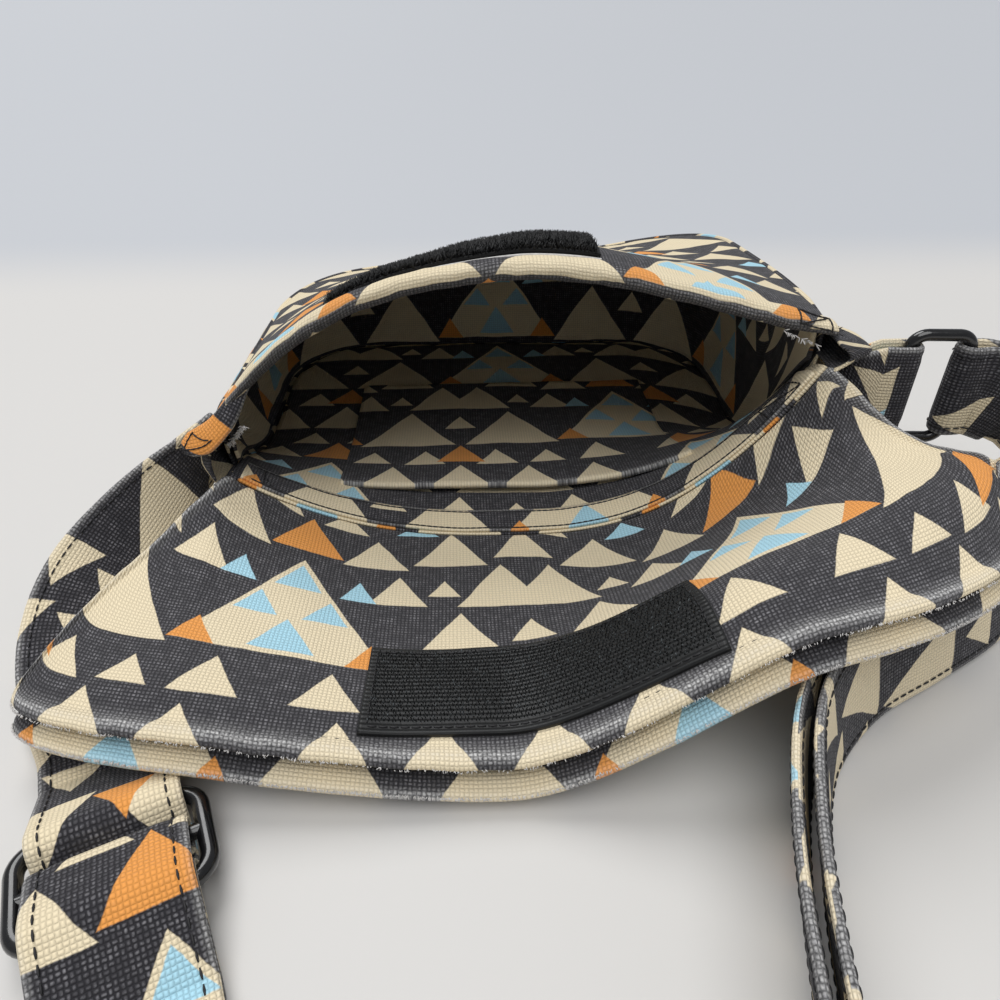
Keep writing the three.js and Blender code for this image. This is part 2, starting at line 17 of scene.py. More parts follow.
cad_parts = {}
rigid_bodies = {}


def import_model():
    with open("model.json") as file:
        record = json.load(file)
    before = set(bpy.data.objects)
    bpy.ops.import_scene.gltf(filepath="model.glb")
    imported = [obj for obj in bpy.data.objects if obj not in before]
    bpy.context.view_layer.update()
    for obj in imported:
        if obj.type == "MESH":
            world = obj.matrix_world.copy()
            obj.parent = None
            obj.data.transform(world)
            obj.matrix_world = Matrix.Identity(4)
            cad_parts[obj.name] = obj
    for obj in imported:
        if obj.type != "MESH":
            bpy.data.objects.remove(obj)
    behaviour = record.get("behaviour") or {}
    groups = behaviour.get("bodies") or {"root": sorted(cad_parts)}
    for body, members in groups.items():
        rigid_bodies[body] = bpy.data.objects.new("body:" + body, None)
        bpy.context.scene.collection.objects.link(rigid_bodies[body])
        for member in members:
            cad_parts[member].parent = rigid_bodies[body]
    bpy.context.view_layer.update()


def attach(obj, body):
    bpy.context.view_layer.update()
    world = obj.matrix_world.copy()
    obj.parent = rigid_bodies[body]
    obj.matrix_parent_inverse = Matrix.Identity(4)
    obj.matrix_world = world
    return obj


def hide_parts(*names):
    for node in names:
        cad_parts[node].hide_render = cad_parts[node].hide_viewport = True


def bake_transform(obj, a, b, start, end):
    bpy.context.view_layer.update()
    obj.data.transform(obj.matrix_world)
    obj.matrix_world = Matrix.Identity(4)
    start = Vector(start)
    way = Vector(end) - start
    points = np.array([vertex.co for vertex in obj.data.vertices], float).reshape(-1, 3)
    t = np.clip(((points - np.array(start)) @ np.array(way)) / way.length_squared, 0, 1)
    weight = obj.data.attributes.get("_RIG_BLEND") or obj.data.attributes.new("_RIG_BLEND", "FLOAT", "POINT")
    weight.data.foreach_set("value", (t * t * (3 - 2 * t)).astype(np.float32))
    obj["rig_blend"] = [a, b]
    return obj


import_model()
MM = 0.001

# %% [markdown]
# ## Camera
# The mouth is seen from close by and a little above, with a wide lens. A camera helper could frame the
# bag, but the place that was worked out from the mouth's corners keeps the perspective of the real view.

# %% Camera
CAMERA_PLACE = (-17.8, -288.5, 162)
CAMERA_TURN = 3
CAMERA_DIP = 35
CAMERA_LENS = 27.04

camera = bpy.data.objects.new("camera", bpy.data.cameras.new("camera"))
bpy.context.scene.collection.objects.link(camera)
camera.location = Vector(CAMERA_PLACE) * MM
camera.rotation_euler = [math.radians(a) for a in (90 - CAMERA_DIP, 0, -CAMERA_TURN)]
camera.data.lens = CAMERA_LENS
camera.data.clip_start = 0.01
bpy.context.scene.camera = camera
print("camera at", tuple(camera.location))

# %% [markdown]
# ## Small helpers
# Colours are written as sRGB hex and turned to linear once. One function adds a shader node with its
# settings and links, so that a material reads like a recipe.

# %% Helpers for colours and nodes
def colour(code):
    parts = [int(code[i:i + 2], 16) / 255 for i in (1, 3, 5)]
    return [p / 12.92 if p <= 0.04045 else ((p + 0.055) / 1.055) ** 2.4 for p in parts] + [1]


def add(tree, kind, links=None, **settings):
    made = tree.nodes.new(kind)
    for name, value in settings.items():
        setattr(made, name, value)
    for socket, value in (links or {}).items():
        if isinstance(value, bpy.types.Node):
            value = value.outputs[0]
        if isinstance(value, bpy.types.NodeSocket):
            tree.links.new(value, made.inputs[socket])
        else:
            made.inputs[socket].default_value = value
    return made


def new_material(name):
    material = bpy.data.materials.new(name)
    material.use_nodes = True
    material.node_tree.nodes.clear()
    return material, material.node_tree


print("middle grey in linear light:", round(colour("#808080")[0], 3))

# %% [markdown]
# ## The print
# The cloth is printed with small and large triangles in cream, orange and light blue on charcoal.
# A picture could carry the print, but a few lines of arithmetic do it at any size: one node group
# draws a triangle, and a tile repeats a listed layout of them, mirrored left to right.

# %% Node group for one printed triangle
PRINT_SHARPNESS = 3.0

mark = bpy.data.node_groups.new("printed_triangle", "ShaderNodeTree")
for socket in ("X", "Y", "Centre", "Base", "Width", "Height"):
    mark.interface.new_socket(socket, in_out="INPUT", socket_type="NodeSocketFloat")
mark.interface.new_socket("Mask", in_out="OUTPUT", socket_type="NodeSocketFloat")
given = add(mark, "NodeGroupInput").outputs
rise = add(mark, "ShaderNodeMath", {0: given["Y"], 1: given["Base"]}, operation="SUBTRACT")
slope = add(mark, "ShaderNodeMath", {0: given["Width"], 1: given["Height"]}, operation="DIVIDE")
lost = add(mark, "ShaderNodeMath", {0: rise, 1: slope}, operation="MULTIPLY")
left = add(mark, "ShaderNodeMath", {0: given["Width"], 1: lost}, operation="SUBTRACT")
aside = add(mark, "ShaderNodeMath", {0: given["X"], 1: given["Centre"]}, operation="SUBTRACT")
away = add(mark, "ShaderNodeMath", {0: aside}, operation="ABSOLUTE")
side = add(mark, "ShaderNodeMath", {0: left, 1: 0.5}, operation="MULTIPLY")
edge = add(mark, "ShaderNodeMath", {0: side, 1: away}, operation="SUBTRACT")
inside = add(mark, "ShaderNodeMath", {0: edge, 1: rise}, operation="MINIMUM")
mask = add(mark, "ShaderNodeMath", {0: inside, 1: PRINT_SHARPNESS, 2: 0.5},
           operation="MULTIPLY_ADD", use_clamp=True)
add(mark, "NodeGroupOutput", {"Mask": mask})
print("nodes in the triangle group:", len(mark.nodes))

# %% The layout of the triangles, in millimetres
TILE = (140, 120)
CREAM_MARKS = [
    (0, 4, 25, 19), (26, 4, 24, 18), (51, 5, 21, 16), (14, 24, 16, 12), (34, 25, 14, 10), (55, 25, 18, 14),
    (21, 41, 38, 29), (0, 56, 13, 10), (70, 43, 58, 45), (40, 73, 18, 14), (8, 73, 28, 21), (26, 78, 10, 8),
    (0, 98, 20, 15), (24, 94, 24, 19), (48, 91, 21, 16), (11, 112, 10, 8), (59, 110, 15, 10),
]
ORANGE_MARKS = [(0, 26, 19, 14), (46, 43, 13, 10), (70, 93, 23, 18)]
BLUE_MARKS = [(70, 45, 18, 14), (60, 60, 13, 10), (70, 74, 14, 11), (35, 112, 14, 8), (52, 73, 11, 9)]


def print_masks(tree, across, along):
    masks = []
    for marks in (CREAM_MARKS, ORANGE_MARKS, BLUE_MARKS):
        total = None
        for centre, base, width, height in marks:
            drawn = add(tree, "ShaderNodeGroup", {"X": across, "Y": along, "Centre": centre, "Base": base,
                        "Width": width, "Height": height}, node_tree=mark)
            if total is None:
                total = drawn
            else:
                total = add(tree, "ShaderNodeMath", {0: total, 1: drawn}, operation="MAXIMUM")
        masks.append(total)
    return masks


print("triangles in one half tile:", len(CREAM_MARKS) + len(ORANGE_MARKS) + len(BLUE_MARKS))

# %% [markdown]
# ## Printed cotton canvas
# A heavy plain weave, printed on the face and washed since. The eye sees three things: the flat print
# with slightly ragged edges, the grain of threads that pass over and under each other, and pale worn
# threads along turned edges. The UV map of every cloth piece is in millimetres, so each size is real.

# %% Canvas: where a point lies in the print
# Noise cells in a millimetre of cloth: ink edges are ragged by about 1 mm, and the print drifts over 17 mm.
RAGGED_CELLS, DRIFT_CELLS = 0.9, 0.06
RAGGED_EDGE, PRINT_DRIFT = 0.3, 1.6

canvas, tree = new_material("printed_cotton_canvas")
cloth = add(tree, "ShaderNodeUVMap", uv_map="cloth")
ragged = add(tree, "ShaderNodeTexNoise", {"Vector": cloth, "Scale": RAGGED_CELLS, "Detail": 1.0})
centred = add(tree, "ShaderNodeVectorMath", {0: ragged.outputs["Color"], 1: (0.5, 0.5, 0.5)},
              operation="SUBTRACT")
drift = add(tree, "ShaderNodeTexNoise", {"Vector": cloth, "Scale": DRIFT_CELLS, "Detail": 1.0})
drifted = add(tree, "ShaderNodeVectorMath", {0: drift.outputs["Color"], 1: (0.5, 0.5, 0.5)},
              operation="SUBTRACT")
near = add(tree, "ShaderNodeVectorMath", {0: centred, 1: (RAGGED_EDGE, RAGGED_EDGE, 0), 2: cloth},
           operation="MULTIPLY_ADD")
moved = add(tree, "ShaderNodeVectorMath", {0: drifted, 1: (PRINT_DRIFT, PRINT_DRIFT, 0), 2: near},
            operation="MULTIPLY_ADD")
place = add(tree, "ShaderNodeSeparateXYZ", {0: moved})

# Every second row of tiles is shifted by half a tile, and each tile is mirrored about its middle.
row = add(tree, "ShaderNodeMath", {0: place.outputs[1], 1: TILE[1]}, operation="DIVIDE")
whole = add(tree, "ShaderNodeMath", {0: row}, operation="FLOOR")
up = add(tree, "ShaderNodeMath", {0: whole, 1: -TILE[1], 2: place.outputs[1]}, operation="MULTIPLY_ADD")
shift = add(tree, "ShaderNodeMath", {0: whole, 1: TILE[0] / 2, 2: place.outputs[0]},
            operation="MULTIPLY_ADD")
column = add(tree, "ShaderNodeMath", {0: shift, 1: TILE[0] / 2}, operation="PINGPONG")
print("one tile of the print:", TILE, "mm")

# %% Canvas: the inks
CANVAS_COLOURS = {"ground": "#333236", "cream": "#f4e4c2", "orange": "#f5a655", "blue": "#b4e2f3"}

cream, orange, blue = print_masks(tree, column, up)
inks = add(tree, "ShaderNodeMix", {"Factor": cream, 6: colour(CANVAS_COLOURS["ground"]),
           7: colour(CANVAS_COLOURS["cream"])}, data_type="RGBA")
for mask, ink in ((orange, "orange"), (blue, "blue")):
    inks = add(tree, "ShaderNodeMix", {"Factor": mask, 6: inks.outputs[2],
               7: colour(CANVAS_COLOURS[ink])}, data_type="RGBA")
bright = add(tree, "ShaderNodeMath", {0: cream, 1: orange}, operation="MAXIMUM")
printed = add(tree, "ShaderNodeMath", {0: bright, 1: blue}, operation="MAXIMUM")
print("inks:", list(CANVAS_COLOURS))

# %% [markdown]
# In a plain weave each thread passes over one crossing thread and under the next. A picture of cloth could
# be repeated, but two sine waves give the height of the threads across and along at any scale, and a
# checker says which of the two lies on top. That height then drives a painted shade, darker in the hollows
# between the threads and a little lighter on their crowns, and also the wear and the bump.

# %% Canvas: the weave
THREAD_PITCH, THREAD_WOBBLE = 1.1, 0.3
OVERLAP_SHARPNESS, THREAD_ROUNDNESS = 4.0, 0.35

flat = add(tree, "ShaderNodeVectorMath", {0: centred, 1: (THREAD_WOBBLE, THREAD_WOBBLE, 0), 2: cloth},
           operation="MULTIPLY_ADD")
phase = add(tree, "ShaderNodeVectorMath", {0: flat, 3: math.pi / THREAD_PITCH}, operation="SCALE")
waves = add(tree, "ShaderNodeVectorMath", {0: phase}, operation="SINE")
both = add(tree, "ShaderNodeSeparateXYZ", {0: waves})
sides = add(tree, "ShaderNodeMath", {0: both.outputs[0], 1: both.outputs[1]}, operation="MULTIPLY")
top = add(tree, "ShaderNodeMath", {0: sides, 1: OVERLAP_SHARPNESS, 2: 0.5},
          operation="MULTIPLY_ADD", use_clamp=True)
steep = add(tree, "ShaderNodeVectorMath", {0: waves}, operation="ABSOLUTE")
hill = add(tree, "ShaderNodeSeparateXYZ", {0: steep})
warp_long = add(tree, "ShaderNodeMath", {0: hill.outputs[1], 1: THREAD_ROUNDNESS}, operation="POWER")
weft_long = add(tree, "ShaderNodeMath", {0: hill.outputs[0], 1: THREAD_ROUNDNESS}, operation="POWER")
over = add(tree, "ShaderNodeMath", {0: hill.outputs[0], 1: warp_long}, operation="MULTIPLY")
under = add(tree, "ShaderNodeMath", {0: hill.outputs[1], 1: weft_long}, operation="MULTIPLY")
height = add(tree, "ShaderNodeMix", {0: top, 2: under, 3: over}, data_type="FLOAT")
print("threads in ten centimetres:", round(100 / THREAD_PITCH))

# %% [markdown]
# Washing has rubbed ink off the crowns of the threads, off each one more or less, and most of it off the
# dark ground. Along turned edges the threads are chafed pale. Paint on top could show both, but here they
# follow the height of the weave and the wear value of each sheet, so every pale spot sits on a thread.

# %% Canvas: lost ink and worn threads
# Noise cells in a millimetre of cloth: rubbed specks are up to 3 mm wide, chafed threads about 0.8 mm apart.
SPECK_CELLS, CHAFE_CELLS = 0.3, 1.3
CROWN_COLOUR, WORN_COLOUR = "#98969a", "#dddcda"

crowns = add(tree, "ShaderNodeMapRange", {0: height, 1: 0.5, 2: 1.0, 3: 0.0, 4: 1.0})
specks = add(tree, "ShaderNodeTexNoise", {"Vector": cloth, "Scale": SPECK_CELLS, "Detail": 6.0,
             "Roughness": 0.75})
rubbed = add(tree, "ShaderNodeMapRange", {0: specks, 1: 0.46, 2: 0.7, 3: 0.14, 4: 0.95})
kept = add(tree, "ShaderNodeMapRange", {0: printed, 1: 0.0, 2: 1.0, 3: 1.0, 4: 0.12})
share = add(tree, "ShaderNodeMath", {0: rubbed, 1: kept}, operation="MULTIPLY")
faded = add(tree, "ShaderNodeMath", {0: crowns, 1: share}, operation="MULTIPLY")
soft = add(tree, "ShaderNodeMix", {"Factor": faded, 6: inks.outputs[2], 7: colour(CROWN_COLOUR)},
           data_type="RGBA")
wear = add(tree, "ShaderNodeAttribute", attribute_name="wear")
chafe = add(tree, "ShaderNodeTexNoise", {"Vector": cloth, "Scale": CHAFE_CELLS, "Detail": 3.0})
broken = add(tree, "ShaderNodeMapRange", {0: chafe, 1: 0.36, 2: 0.62, 3: 0.3, 4: 1.0})
raised = add(tree, "ShaderNodeMapRange", {0: height, 1: 0.2, 2: 0.9, 3: 0.5, 4: 1.0})
thin = add(tree, "ShaderNodeMath", {0: broken, 1: raised}, operation="MULTIPLY")
bare = add(tree, "ShaderNodeMapRange", {0: printed, 1: 0.0, 2: 1.0, 3: 1.0, 4: 0.35})
loss = add(tree, "ShaderNodeMath", {0: thin, 1: bare}, operation="MULTIPLY")
worn = add(tree, "ShaderNodeMath", {0: wear.outputs["Fac"], 1: loss},
           operation="MULTIPLY", use_clamp=True)
pale = add(tree, "ShaderNodeMix", {"Factor": worn, 6: soft.outputs[2], 7: colour(WORN_COLOUR)},
           data_type="RGBA")
# Painted shade: the colour is darkened in the hollows between the threads and lifted a little on their
# crowns.
shade = add(tree, "ShaderNodeMapRange", {0: height, 1: 0.0, 2: 0.8, 3: 0.8, 4: 1.02})
lit = add(tree, "ShaderNodeVectorMath", {0: pale.outputs[2], 3: shade}, operation="SCALE")
print("nodes up to the wear:", len(tree.nodes))

# %% Canvas: the surface
bump = add(tree, "ShaderNodeBump", {"Height": height, "Strength": 0.7, "Distance": 0.0004})
shader = add(tree, "ShaderNodeBsdfPrincipled", {
    "Base Color": lit, "Normal": bump, "Roughness": 0.92, "Specular IOR Level": 0.2,
    "Sheen Weight": 0.1, "Sheen Roughness": 0.5})
add(tree, "ShaderNodeOutputMaterial", {"Surface": shader})
print("canvas nodes:", len(tree.nodes))

# %% [markdown]
# ## Thread, tapes and metal
# The stitches are black polyester thread, smooth with a dull shine. Where the canvas frays, its cotton
# is undyed inside and shows as pale fluff. The tapes are black nylon with a painted sheen on their ribs:
# one woven with stiff hooks, one brushed to a deep pile that drinks the light. The slider and the ring are
# steel wire under glossy black enamel. Threads, fluff and bristles differ only in their tones, so one recipe
# serves them all; the hooks' light tone is a painted highlight, the pile's a painted sheen.

# %% Thread, fibre, nylon and enamel
# Noise cells in a metre. A thread's real twist is finer, and is drawn about 1 mm long so that it shows.
THREAD_CELLS, FLUFF_CELLS, BRISTLE_CELLS, SMEAR_CELLS = 900, 700, 600, 260
BRISTLE_HIGHLIGHT_RANGE = (0.55, 0.72)


def fine_fibre(name, dark, light, roughness, cells, light_tone_range=(0, 1)):
    material, tree = new_material(name)
    spot = add(tree, "ShaderNodeTexCoord")
    patchy = add(tree, "ShaderNodeTexNoise", {"Vector": spot.outputs["Object"], "Scale": cells})
    share = add(tree, "ShaderNodeMapRange", {0: patchy, 1: light_tone_range[0], 2: light_tone_range[1]})
    tone = add(tree, "ShaderNodeMix", {"Factor": share, 6: colour(dark), 7: colour(light)}, data_type="RGBA")
    shader = add(tree, "ShaderNodeBsdfPrincipled", {"Base Color": tone.outputs[2], "Roughness": roughness})
    add(tree, "ShaderNodeOutputMaterial", {"Surface": shader})
    return material


def black_nylon(name, dark, light, roughness, rib_pitch):
    material, tree = new_material(name)
    cloth = add(tree, "ShaderNodeUVMap", uv_map="cloth")
    ribs = add(tree, "ShaderNodeTexWave", {"Vector": cloth, "Scale": math.pi / 10 / rib_pitch,
               "Distortion": 0.6}, bands_direction="Y")
    # Painted sheen: the tone is lighter on the rib crests and darker in the hollows between them, in uneven
    # patches.
    rib_sheen_patches = add(tree, "ShaderNodeTexNoise", {"Vector": cloth, "Scale": 0.8, "Detail": 4.0})
    share = add(tree, "ShaderNodeMath", {0: ribs.outputs["Fac"], 1: rib_sheen_patches}, operation="MULTIPLY")
    tone = add(tree, "ShaderNodeMix", {"Factor": share, 6: colour(dark), 7: colour(light)},
               data_type="RGBA")
    bump = add(tree, "ShaderNodeBump", {"Height": ribs.outputs["Fac"], "Strength": 0.6, "Distance": 0.0003})
    shader = add(tree, "ShaderNodeBsdfPrincipled", {
        "Base Color": tone.outputs[2], "Normal": bump, "Roughness": roughness, "Sheen Weight": 0.05})
    add(tree, "ShaderNodeOutputMaterial", {"Surface": shader})
    return material


def black_enamel():
    material, tree = new_material("glossy_black_enamel")
    spot = add(tree, "ShaderNodeTexCoord")
    smear = add(tree, "ShaderNodeTexNoise", {"Vector": spot.outputs["Object"], "Scale": SMEAR_CELLS,
                "Detail": 3.0})
    rough = add(tree, "ShaderNodeMapRange", {0: smear, 1: 0.3, 2: 0.7, 3: 0.14, 4: 0.3})
    tone = add(tree, "ShaderNodeMix", {"Factor": smear, 6: colour("#0a0a0b"), 7: colour("#1a1a1c")},
               data_type="RGBA")
    shader = add(tree, "ShaderNodeBsdfPrincipled", {
        "Base Color": tone.outputs[2], "Roughness": rough, "Coat Weight": 0.5, "Coat Roughness": 0.08})
    add(tree, "ShaderNodeOutputMaterial", {"Surface": shader})
    return material


thread = fine_fibre("black_polyester_thread", "#0b0b0c", "#2c2b2e", 0.6, THREAD_CELLS)
fibre = fine_fibre("undyed_cotton_fibre", "#a8a4a2", "#efedea", 0.95, FLUFF_CELLS)
hook_nylon = black_nylon("woven_nylon_hook_tape", "#060708", "#1a1d1e", 0.5, 1.6)
loop_nylon = black_nylon("brushed_nylon_loop_tape", "#040405", "#131315", 0.9, 1.2)
# On the hooks the sparse light grey patches are a painted highlight, and on the pile a painted sheen.
hook_bristle = fine_fibre("stiff_nylon_hooks_painted_highlights", "#0a0c0d", "#70777a", 0.5, BRISTLE_CELLS, BRISTLE_HIGHLIGHT_RANGE)
loop_bristle = fine_fibre("brushed_nylon_pile_painted_sheen", "#050506", "#1f1f22", 0.5, BRISTLE_CELLS, BRISTLE_HIGHLIGHT_RANGE)
enamel = black_enamel()
print("materials:", [m.name for m in bpy.data.materials])

# %% [markdown]
# ## The form of the bag
# The left side has sunk and the right side still stands, so the mouth is a lopsided arch. The same
# sizes as the solids' give the height of the front and the back at any place of the plan: x to the
# side, and s, the distance from the mouth towards the bottom seam. All in millimetres.

# %% Sizes of the body
BODY_LENGTH, BODY_HALF, MOUTH_HALF, MOUTH_TAPER = 165, 100, 97, 70
CORNER_RADIUS = 42
LEFT_RIM, RIGHT_RIM, RIM_PEAK = 42, 71, 95
LEFT_BOTTOM, RIGHT_BOTTOM, MIDDLE_BOTTOM = 35, 60, 45
LEFT_LIFT, RIGHT_LIFT, LIFT_LENGTH = 27, 64, 75
LEFT_CROWN, RIGHT_CROWN, SAG = 2.8, 1.4, 2.7
SWELL, SWELL_PLACE, SWELL_SIZE = 8, (24, 44), (44, 34)
RIM_DIP, RIM_DIP_RAMP, RIM_DIP_POWER = 3, (12, 26), 4
RIM_CORNER_SETBACK, RIM_PEAK_SETBACK = 5, 8
MOUTH_Y = -BODY_LENGTH / 2
print("body:", 2 * BODY_HALF, "mm wide,", BODY_LENGTH, "mm long")

# %% Helpers for smooth steps and the width of the body
def lerp(a, b, t):
    return a + (b - a) * t


def ease(low, high, x):
    t = min(1, max(0, (x - low) / (high - low)))
    return t * t * (3 - 2 * t)


def half_width(s, inset=0):
    side = lerp(MOUTH_HALF, BODY_HALF, ease(0, MOUTH_TAPER, s)) - inset
    corner = CORNER_RADIUS - inset
    past = s - (BODY_LENGTH - CORNER_RADIUS)
    return side - corner + math.sqrt(max(0, corner ** 2 - past ** 2)) if past > 0 else side


def sideways(x):
    return min(1, max(-1, x / BODY_HALF))


print("half width at the mouth and in the middle:", half_width(0), half_width(BODY_LENGTH / 2), "mm")

# %% Heights of the front and the back
def front_height(x, s):
    u, t = sideways(x), s / BODY_LENGTH
    middle = lerp(RIM_PEAK, MIDDLE_BOTTOM, t)
    edge = lerp(LEFT_RIM, LEFT_BOTTOM, t) if u < 0 else lerp(RIGHT_RIM, RIGHT_BOTTOM, t * t)
    across, behind = (x - SWELL_PLACE[0]) / SWELL_SIZE[0], (s - SWELL_PLACE[1]) / SWELL_SIZE[1]
    swell = SWELL * math.exp(-across ** 2 - behind ** 2)
    dip = RIM_DIP * (1 - u ** RIM_DIP_POWER) * (1 - ease(*RIM_DIP_RAMP, s))
    return edge + (middle - edge) * (1 - abs(u) ** (LEFT_CROWN if u < 0 else RIGHT_CROWN)) + swell - dip


def back_height(x, s):
    u = sideways(x)
    return (LEFT_LIFT if u < 0 else RIGHT_LIFT) * abs(u) ** SAG * (1 - ease(0, LIFT_LENGTH, s))


def steepness(height, x, s):
    here = height(x, s)
    return math.hypot(1, height(x + 1, s) - here, height(x, s + 1) - here)


def rim_setback(u):
    return lerp(RIM_PEAK_SETBACK, RIM_CORNER_SETBACK, u * u)


def fold_setback(u):
    return RIM_CORNER_SETBACK * u * u


def rumple(x, s, *waves):
    """Soft creases in the cloth, each given as its width and its depth."""
    return sum(depth * noise.noise((x / size, s / size, 0.37 * size)) for size, depth in waves)


print("height of the rim's middle:", round(front_height(0, RIM_PEAK_SETBACK), 1), "mm")

# %% [markdown]
# ## One way to make a sheet
# Every cloth panel starts as a flat grid. A function of the panel lifts each point to its place, the
# lengths along the grid's own lines become the UV map in millimetres, and Solidify gives the cloth its
# thickness. A weight for the hem makes turned edges thicker, and a wear value pales rubbed edges.
# A sheet that dresses a solid stands for that node.

# %% Helpers that finish a piece and measure its cloth
CLOTH, HEM_CLOTH = 1.2, 2.6


def finish_piece(name, bm, materials, body="bag"):
    mesh = bpy.data.meshes.new(name)
    bm.to_mesh(mesh)
    bm.free()
    made = bpy.data.objects.new(name, mesh)
    bpy.context.scene.collection.objects.link(made)
    for material in materials:
        mesh.materials.append(material)
    mesh.shade_smooth()
    if body:
        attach(made, body)
    return made


def lengths_along(place):
    """Lengths along the lines of a grid of places: across from its middle, and along from its first row."""
    middle = (place.shape[1] - 1) // 2
    across = np.linalg.norm(np.diff(place, axis=1), axis=2).cumsum(axis=1)
    across = np.pad(across, ((0, 0), (1, 0)))
    across -= across[:, middle:middle + 1]
    along = np.linalg.norm(np.diff(place, axis=0), axis=2).cumsum(axis=0)
    return across, np.pad(along, ((1, 0), (0, 0)))


print("one layer of cloth:", CLOTH, "mm, a turned hem:", HEM_CLOTH, "mm")

# %% Helper that makes a cloth sheet from a grid
SINGLE_SHARE = 0.42


def thicken(made, thickness, hem_weights, smooth):
    """Gives a sheet its thickness, less of it away from the hem, and rounds it off."""
    solid = made.modifiers.new("thickness", "SOLIDIFY")
    solid.thickness = thickness * MM
    solid.offset = -1
    if hem_weights:
        group = made.vertex_groups.new(name="hem")
        for index, weight in hem_weights:
            group.add([index], weight, "REPLACE")
        solid.vertex_group = "hem"
        solid.thickness_vertex_group = SINGLE_SHARE
    if smooth:
        rounded = made.modifiers.new("rounding", "SUBSURF")
        rounded.levels = rounded.render_levels = smooth


def cloth_sheet(name, columns, rows, surface, print_start=(0, 0), wear=None, hem=None, thickness=CLOTH,
                material=canvas, smooth=0, node=None):
    bm = bmesh.new()
    bmesh.ops.create_grid(bm, x_segments=columns, y_segments=rows, size=1)
    wear_layer = bm.verts.layers.float.new("wear")
    uv_layer = bm.loops.layers.uv.new("cloth")
    bm.verts.index_update()
    points = sorted(bm.verts, key=lambda v: (round(v.co.y, 5), round(v.co.x, 5)))
    hem_weights = []
    for vert in points:
        u, v = vert.co.x, (vert.co.y + 1) / 2
        x, s, z = surface(u, v)
        vert[wear_layer] = wear(u, v) if wear else 0
        if hem:
            hem_weights.append((vert.index, hem(u, v)))
        vert.co = Vector((x, MOUTH_Y + s, z)) * MM
    place = np.array([v.co for v in points]).reshape(rows + 1, columns + 1, 3) / MM
    across, along = lengths_along(place)
    unrolled = np.stack([across + print_start[0], along + print_start[1]], axis=2).reshape(-1, 2)
    spot = dict(zip(points, unrolled))
    for face in bm.faces:
        for loop in face.loops:
            loop[uv_layer].uv = spot[loop.vert]
    made = finish_piece(name, bm, [material])
    thicken(made, thickness, hem_weights, smooth)
    if node:
        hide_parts(node)


print("share of a hem's thickness in one layer:", SINGLE_SHARE)

# %% [markdown]
# ## Front panel with its puffy rim
# The front's mouth edge is turned in twice over a soft core, which gives a fat roll with puckers and a
# stitched groove behind it. One sheet makes it all: it starts inside, runs round the roll and then on
# over the front to the bottom seam.

# %% Surface of the front and its rim
ROLL_WIDTH, ROLL_HEIGHT = 10, 3.4
ROLL_SHARE = 0.3
ROLL_START, ROLL_END = math.radians(-28), math.radians(-330)
GROOVE_DEPTH, GROOVE_WIDTH, GROOVE_BEHIND, END_FLATTENING = 0.5, 1.2, 1, 0.35
WIDE_PUCKER, NARROW_PUCKER, END_RAMP = (7, 0.1), (2.5, 0.06), (0.84, 0.98)
RIM_WEAR, RIM_WEAR_PLACE, RIM_WEAR_WIDTH, FRONT_WEAR = 0.3, 0.55, 0.14, 0.05
# Seams hold the cloth smooth, and its creases grow with the distance from the rim, the bottom and the sides.
FRONT_CREASES = (42, 2.2), (17, 0.7)
RIM_HOLD, BOTTOM_HOLD, SIDE_HOLD = (8, 40), (BODY_LENGTH, 130), (1.0, 0.8)


def front_top(x, s):
    free = ease(*RIM_HOLD, s) * ease(*BOTTOM_HOLD, s) * ease(*SIDE_HOLD, abs(x) / half_width(s))
    return front_height(x, s) + CLOTH + rumple(x, s, *FRONT_CREASES) * free


def rim_roll(u, angle, grow=0):
    s = rim_setback(u) + ROLL_WIDTH / 2 * (1 + math.cos(angle))
    x = u * half_width(s)
    wide = WIDE_PUCKER[1] * noise.noise((x / WIDE_PUCKER[0], 2 * math.sin(angle), 1.5))
    narrow = NARROW_PUCKER[1] * noise.noise((x / NARROW_PUCKER[0], angle, 4))
    pucker = 1 + wide + narrow
    flat_end = 1 - END_FLATTENING * ease(*END_RAMP, abs(u))
    rise = ROLL_HEIGHT * flat_end * pucker + grow
    forward = ROLL_WIDTH / 2 * (pucker - 1) + grow
    return x, s + forward * math.cos(angle), front_height(x, s) + CLOTH / 2 + rise * math.sin(angle)


def front_surface(u, v):
    whole = BODY_LENGTH - rim_setback(u)
    if v < ROLL_SHARE:
        return rim_roll(u, lerp(ROLL_START, ROLL_END, v / ROLL_SHARE))
    from_rim = lerp(ROLL_WIDTH, whole, (v - ROLL_SHARE) / (1 - ROLL_SHARE))
    s = rim_setback(u) + from_rim
    x = u * half_width(s)
    groove = GROOVE_DEPTH * math.exp(-((from_rim - ROLL_WIDTH - GROOVE_BEHIND) / GROOVE_WIDTH) ** 2)
    return x, s, front_top(x, s) - groove


def rim_wear(u, v):
    if v >= ROLL_SHARE:
        return FRONT_WEAR
    return RIM_WEAR * math.exp(-((v / ROLL_SHARE - RIM_WEAR_PLACE) / RIM_WEAR_WIDTH) ** 2)


print("the rim's roll:", ROLL_WIDTH, "mm deep,", 2 * ROLL_HEIGHT, "mm thick")

# %% Front panel and its lining
LINING_TUCK, LINING_SHORT, LINING_INSET, LINING_DROP = 1.5, 2, 1.8, 0.8
LINING_DIP, LINING_DIP_RAMP = 0.6, (0.1, 0.0)


def lining_surface(u, v):
    s = lerp(rim_setback(u) + ROLL_WIDTH - LINING_TUCK, BODY_LENGTH - LINING_SHORT, v)
    x = u * half_width(s, LINING_INSET)
    return x, s, front_top(x, s) - CLOTH - LINING_DROP - LINING_DIP * ease(*LINING_DIP_RAMP, v)


